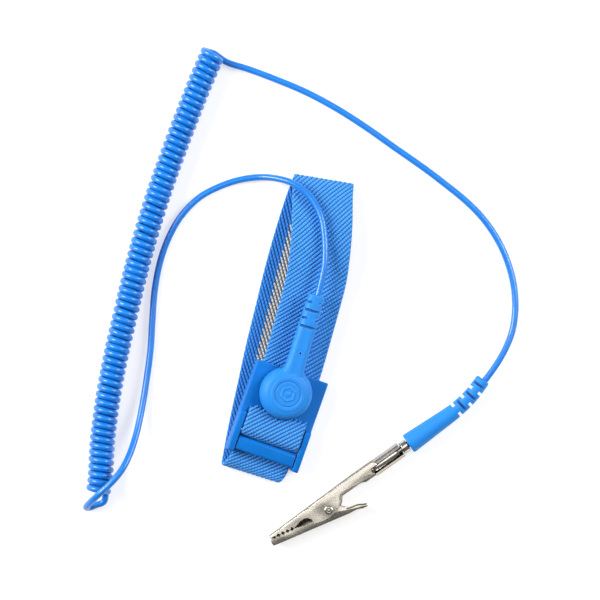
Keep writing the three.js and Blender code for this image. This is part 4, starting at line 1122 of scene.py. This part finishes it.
def build_upper_jaw():
    back = -BARREL_RADIUS
    shell = rounded([
        (BARREL_END - 2, back), (BARREL_END + 6.5, back), (JAW_TIP + 1, -1.8), (JAW_TIP + 1, 9),
        (BARREL_END - 2, 9),
    ], 1.5)
    inside = rounded([
        (BARREL_END - 3, back + SHEET), (BARREL_END + 6.5, back + SHEET), (JAW_TIP + 2, SHEET - 1.8),
        (JAW_TIP + 2, 10), (BARREL_END - 3, 10),
    ], 1.2)
    outline = [
        (BARREL_END - 2, back - 1), (JAW_TIP - 0.7, back - 1), (JAW_TIP - 0.5, -1.8), (JAW_TIP, -1.3),
        (JAW_TIP, -0.7),
        *teeth((JAW_TIP - 0.6, -0.9), (46.4, 0.7), 5, -0.7), (43.8, 0.1), (42.2, 0.05), (41.1, 0.5),
        (40.2, 1.7), (40.2, 2.6), (40.4, 3.2), (38.9, 3.85), (37.3, 4.3), (35.5, 4.6), (34, 4.55),
        (32.6, 4.3),
        (31.5, 3.9), (30.6, 3.4), (29.8, 2.8), (29.2, 2.1), (28.5, 0.9), (27.9, 0.2), (BARREL_END + 4, 0.2),
        (BARREL_END - 2, 1.6),
    ]
    made = solid("upper_jaw_steel", plate(shell, -JAW_HALF, JAW_HALF, 0.55), PLUG_AXES, plated_steel)
    change(made, "DIFFERENCE", [plate(inside, SHEET - JAW_HALF, JAW_HALF - SHEET, 0.2)], PLUG_AXES)
    change(made, "INTERSECT", [plate(outline, -4, 4, 0.01)], PLUG_AXES)
    # The side that lies on the table reaches further out, so its inner face shows beside the near one.
    far = rounded([
        (BARREL_END - 0.5, -1), (46, -1), (40.5, 3.4), (37.5, 4.7), (33, 4.75), (30.3, 4.1), (28.6, 2.9),
        (27.6, 1.5), (20, 1.55), (18.5, 2.3), (BARREL_END - 0.5, 2.3),
    ], 0.5)
    change(made, "UNION", [plate(far, -JAW_HALF + 0.01, SHEET - JAW_HALF, 0.02)], PLUG_AXES)
    # The flat blank turns round into the barrel over five millimetres.
    turn = np.linspace(0, 2 * math.pi, 56, endpoint=False)
    rings = []
    for share in np.linspace(0, 1, 12):
        eased = share * share * (3 - 2 * share)
        high, half, power = 2.6 - 2.3 * eased, 2.6 + 0.39 * eased, 1 - 0.72 * eased
        t = (high + back) / 2 + (high - back) / 2 * np.sign(np.cos(turn)) * np.abs(np.cos(turn)) ** power
        z = half * np.sign(np.sin(turn)) * np.abs(np.sin(turn)) ** power
        rings.append(np.column_stack([np.full(56, BARREL_END - 1.5 + 5.5 * share), t, z]))
    change(made, "UNION", [(np.vstack(rings), skin(rings))], PLUG_AXES)
    barrel = turned([(BARREL_BORE, BARREL_START), (BARREL_RADIUS - 0.1, BARREL_START),
                     (BARREL_RADIUS, BARREL_START + 0.1), (BARREL_RADIUS, BARREL_END + 0.3),
                     (BARREL_BORE, BARREL_END + 0.3)], 64, closed=True)
    change(made, "UNION", [barrel], PLUG_TURNED)
    change(made, "DIFFERENCE", [rod(BARREL_BORE, BARREL_START - 1, BARREL_END + 1, 64)], PLUG_TURNED)
    seam = PLUG_AXES @ Matrix.Rotation(math.radians(-12), 4, "X")
    change(made, "DIFFERENCE", [box((BARREL_START - 1, -1.25, 0), (BARREL_END + 0.8, 1.25, 4))], seam)
    rivet = PLUG_AXES @ Matrix.Translation((*RIVET_AT, 0))
    return change(made, "DIFFERENCE", [rod(1.3, -5, 5)], rivet)


finished(build_upper_jaw(), "crocodile_clip", "upper_jaw")

# %% [markdown]
# ## Clip: the moving jaw
#
# It is a narrower channel that closes inside the other one. Its back runs on past the rivet as the
# lever, with a dip for a fingertip.

# %% Build the moving jaw
LOWER_HALF = JAW_HALF - SHEET - GAP


def build_lower_jaw():
    shell = rounded([
        (JAW_TIP + 0.3, -4), (JAW_TIP + 0.3, 1.7), (29, 7.4), (27.6, 7.55), (26, 7.8), (24.4, 8.6),
        (22.6, 8.9), (22.2, 8.0), (23.6, 7.4), (25.0, 6.5), (26.4, 6.2), (28.6, 5.6), (28.6, -4),
    ], 0.5)
    inside = [(JAW_TIP + 2, 0.9), (JAW_TIP + 2, -6), (29.3, -6), (29.3, 6.75)]
    outline = [
        (JAW_TIP - 0.3, -0.5), (JAW_TIP + 0.2, 0.3), (JAW_TIP + 1, 1.2), (JAW_TIP + 1, 3), (29, 9), (21, 10),
        (21, 5), (28.6, 5), (29.2, 4.5), (30, 3.4), (30.7, 2), (31.6, 1), (32.7, 0.3), (34, 0),
        (35.6, 0.05), (37, 0.4), (38, 1.1), (39, 1.8), (40, 2.35), (41.2, 2.6), (42.8, 2.3), (44.6, 1.6),
        (46.4, 0.9), *teeth((46.6, 0.8), (JAW_TIP - 0.8, -0.7), 5, 0.6),
    ]
    made = solid("lower_jaw_steel", plate(shell, -LOWER_HALF, LOWER_HALF, 0.4), PLUG_AXES, plated_steel)
    change(made, "DIFFERENCE", [plate(inside, SHEET - LOWER_HALF, LOWER_HALF - SHEET, 0.15)], PLUG_AXES)
    change(made, "INTERSECT", [plate(outline, -4, 4, 0.01)], PLUG_AXES)
    # Its far side has no throat cut in it and leans inwards, so the throat looks dark from the front.
    far = [(36, 1), (41, -0.4), (JAW_TIP - 0.5, -0.75), (JAW_TIP, 1.2), (36, 5)]
    points, faces = plate(far, -LOWER_HALF + 0.01, SHEET - LOWER_HALF, 0.02)
    points[:, 2] += np.where(points[:, 2] > 0.3 - LOWER_HALF, 0.35 * np.clip(points[:, 1] + 0.4, 0, None), 0)
    change(made, "UNION", [(points, faces)], PLUG_AXES)
    rivet = PLUG_AXES @ Matrix.Translation((*RIVET_AT, 0))
    return change(made, "DIFFERENCE", [rod(1.3, -5, 5)], rivet)


finished(build_lower_jaw(), "lower_jaw", "lower_jaw")

# %% [markdown]
# ## Clip: rivet and spring
#
# A hollow rivet joins the jaws, with both ends rolled over. The spring is hard-drawn wire wound round
# it, and its legs press the jaws together.

# %% Turn the rivet and wind the spring
def build_rivet():
    inner, outer = JAW_HALF + GAP, JAW_HALF + GAP + 0.3
    half = [(0.9, inner), (1.35, inner), (1.35, inner + 0.04), (1.2, inner + 0.12), (0.95, outer - 0.12),
            (0.75, outer - 0.1), (0.6, outer - 0.16), (0.5, outer - 0.4)]
    section = half + [(radius, -height) for radius, height in half[::-1]]
    return solid("clip_rivet_steel", turned(section, 48, closed=True),
                 PLUG_AXES @ Matrix.Translation((*RIVET_AT, 0)), plated_steel)


finished(build_rivet(), "crocodile_clip", "clip_rivet")


def build_clip_spring():
    wire, turns, radius = 0.3, 3, 1.6
    width = 2 * (LOWER_HALF - SHEET - GAP - wire)
    points = [(-5.6, -2.4, -width / 2)]
    for share in np.linspace(0, 1, turns * 24 + 1):
        turn = math.radians(250 + (60 - 360 * turns) * share)
        points.append((radius * math.cos(turn), radius * math.sin(turn), (share - 0.5) * width))
    points.append((points[-1][0] - 3.4, points[-1][1] - 0.4, width / 2))
    rings = tube_rings(smooth_line(points, 0.3), wire, 12)
    return solid("clip_spring_wire", (np.vstack(rings), skin(rings)),
                 PLUG_AXES @ Matrix.Translation((*RIVET_AT, 0)), stainless)


finished(build_clip_spring(), "crocodile_clip", "clip_spring")

# %% [markdown]
# ## The press stud and what hides in the head
#
# The stud is pressed from nickel-plated brass and riveted through the deck by a post that also holds
# the skin plate and the band's end. A matching socket with a split ring sits in the head. The resistor
# behind it limits the current through a person to a safe trickle.

# %% Turn the stud, its post and the socket
STUD_BOTTOM = DECK_TOP + GAP
STUD_TOP = STUD_BOTTOM + 3.1
SOCKET_BOTTOM, SOCKET_TOP = DECK_TOP + 1.0, DECK_TOP + 4.1
GROOVE_LOW, GROOVE_HIGH = SOCKET_BOTTOM + 0.7, SOCKET_BOTTOM + 1.5
PLATE_TOP = DECK_BOTTOM - GAP - BAND_THICKNESS - GAP
PLATE_BOTTOM = PLATE_TOP - 0.6

ball = STUD_TOP - 1.1
stud = [(1.0, STUD_BOTTOM), (3.85, STUD_BOTTOM), (4.0, STUD_BOTTOM + 0.15), (3.95, STUD_BOTTOM + 0.34),
        (3.8, STUD_BOTTOM + 0.4), (1.75, STUD_BOTTOM + 0.42), (1.55, STUD_BOTTOM + 0.6), (1.55, ball - 0.7)]
flare, crown = np.radians([25, 45, 65, 90]), np.radians([15, 30, 45, 60, 75, 90])
stud += [(1.55 + 0.45 * math.sin(a), ball - 0.7 + 0.7 * (1 - math.cos(a))) for a in flare]
stud += [(2.0 - 0.9 * (1 - math.cos(a)), ball + 1.1 * math.sin(a)) for a in crown]
stud += [(0.3, STUD_TOP), (0.3, STUD_TOP - 0.4), (1.0, STUD_TOP - 0.4)]
finished(solid("snap_stud_nickel", turned(stud, 64, closed=True), BUCKLE_AXES, nickel_plate),
         "wristband", "snap_stud")

post = [(0.3, PLATE_BOTTOM - 0.6), (2.7, PLATE_BOTTOM - 0.6), (3.0, PLATE_BOTTOM - 0.45),
        (3.0, PLATE_BOTTOM - 0.3), (0.7, PLATE_BOTTOM - 0.3), (0.7, STUD_TOP - 0.85), (0.55, STUD_TOP - 0.7),
        (0.2, STUD_TOP - 0.7)]
stud_post = solid("stud_post_steel", turned(post, 48), BUCKLE_AXES, stainless)
finished(stud_post, "wristband", "stud_post")

socket = [(2.4, SOCKET_BOTTOM), (4.65, SOCKET_BOTTOM), (4.8, SOCKET_BOTTOM + 0.15),
          (4.8, SOCKET_BOTTOM + 0.4),
          (3.3, SOCKET_BOTTOM + 0.4), (3.3, SOCKET_TOP - 0.2), (3.1, SOCKET_TOP), (0.3, SOCKET_TOP),
          (0.3, SOCKET_TOP - 0.4), (2.4, SOCKET_TOP - 0.4), (2.4, GROOVE_HIGH), (2.9, GROOVE_HIGH),
          (2.9, GROOVE_LOW), (2.4, GROOVE_LOW)]
finished(solid("snap_socket_nickel", turned(socket, 64, closed=True), HEAD_AXES, nickel_plate),
         "snap_head", "snap_socket")

ring_turn = np.radians(np.linspace(20, 340, 81))
ring_line = np.column_stack([2.38 * np.cos(ring_turn), 2.38 * np.sin(ring_turn),
                             np.full(81, (GROOVE_LOW + GROOVE_HIGH) / 2)])
ring = tube_rings(ring_line, 0.18, 10)
finished(solid("socket_spring_brass", (np.vstack(ring), skin(ring)), HEAD_AXES, spring_brass),
         "snap_head", "socket_spring")

# %% [markdown]
# ## The skin plate, the resistor and its wires
#
# The plate is brushed stainless steel, with rounded corners for the skin. The resistor is dipped in
# matt enamel and marked with painted bands for its value, brown, black, green and gold. Its wires are
# tinned copper.

# %% Press the plate
def build_plate():
    half = HALF_OPENING - GAP - 1
    end = BUCKLE_HEAD_END - 0.9
    outline = rounded([(-half, end - 13.5), (half, end - 13.5), (half, end), (-half, end)], 2.2, steps=8)
    made = solid("skin_plate_steel", plate(outline, PLATE_BOTTOM, PLATE_TOP, 0.15), BUCKLE_AXES, stainless)
    return change(made, "DIFFERENCE", [rod(1.0, PLATE_BOTTOM - 1, PLATE_TOP + 1)], BUCKLE_AXES)


finished(build_plate(), "wristband", "skin_plate")

# %% Dip the resistor and draw its wires
RESISTOR_MIDDLE, RESISTOR_HALF = 15.4, 3.15
NECK_AXES = HEAD_AXES @ Matrix.Translation((0, 0, NECK_HEIGHT)) @ Matrix.Rotation(-math.pi / 2, 4, "X")


def dipped_enamel():
    made, tree, shader = material("dipped_resistor_enamel", 0.45, IOR=1.5)
    along = add(tree, "Attribute", {"attribute_name": "along"})
    ramp = add(tree, "ValToRGB", links={0: along.outputs["Fac"]})
    ramp.color_ramp.interpolation = "CONSTANT"
    coat = "#C9B48A"
    bands = [(0.0, coat), (0.13, "#6B3A1E"), (0.2, coat), (0.33, "#151515"), (0.4, coat), (0.5, "#2E7A3A"),
             (0.57, coat), (0.8, "#B8923C"), (0.87, coat)]
    stops = ramp.color_ramp.elements
    while len(stops) < len(bands):
        stops.new(1.0)
    for stop, (place, colour) in zip(stops, bands):
        stop.position, stop.color = place, linear(colour)
    place = add(tree, "TexCoord")
    dust = add(tree, "TexNoise", {"Scale": 900.0, "Detail": 3.0}, {"Vector": place.outputs["Object"]})
    tone = add(tree, "Mix", {"data_type": "RGBA", "blend_type": "MULTIPLY", 7: linear("#D8D2C6")},
               {0: dust.outputs["Fac"], 6: ramp.outputs[0]})
    tree.links.new(tone.outputs[2], shader.inputs["Base Color"])
    return made


def build_resistor():
    half, full, waist = RESISTOR_HALF, 1.15, 0.95
    heights = np.linspace(-half, half, 41)
    radii = []
    for height in heights:
        bulge = max(0.0, math.exp(-((abs(height) - half + 0.9) / 0.55) ** 4))
        end = math.sqrt(max(0.0, 1 - (max(0.0, abs(height) - half + 0.5) / 0.5) ** 2))
        radii.append(max(0.32, (waist + (full - waist) * bulge) * (0.45 + 0.55 * end)))
    shape = turned(list(zip(radii, RESISTOR_MIDDLE + heights)), 40)
    made = solid("safety_resistor_enamel", shape, NECK_AXES, dipped_enamel())
    share = np.repeat(np.linspace(0, 1, 41), 40).astype(np.float32)
    made.data.attributes.new("along", "FLOAT", "POINT").data.foreach_set("value", share)
    return made


finished(build_resistor(), "snap_head", "safety_resistor")
tinned_copper = plated_nickel("tinned_copper_wire", "#C8C9C8", "#E8E8E4", 0.3, 0.2)
for node, low, high in (("snap_wire", 3.6, RESISTOR_MIDDLE - RESISTOR_HALF - GAP),
                        ("cord_wire", RESISTOR_MIDDLE + RESISTOR_HALF + GAP, 21.0)):
    wire = [(0.22, low), (0.3, low + 0.08), (0.3, high - 0.08), (0.22, high)]
    finished(solid(node + "_tinned", turned(wire, 20), NECK_AXES, tinned_copper), "snap_head", node)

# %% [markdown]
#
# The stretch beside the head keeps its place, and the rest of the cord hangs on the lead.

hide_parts("lead_cord", "coil_cord", "clip_cord")
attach(cord, "lead")
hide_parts("lead_cord")
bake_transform(cord_at_head)
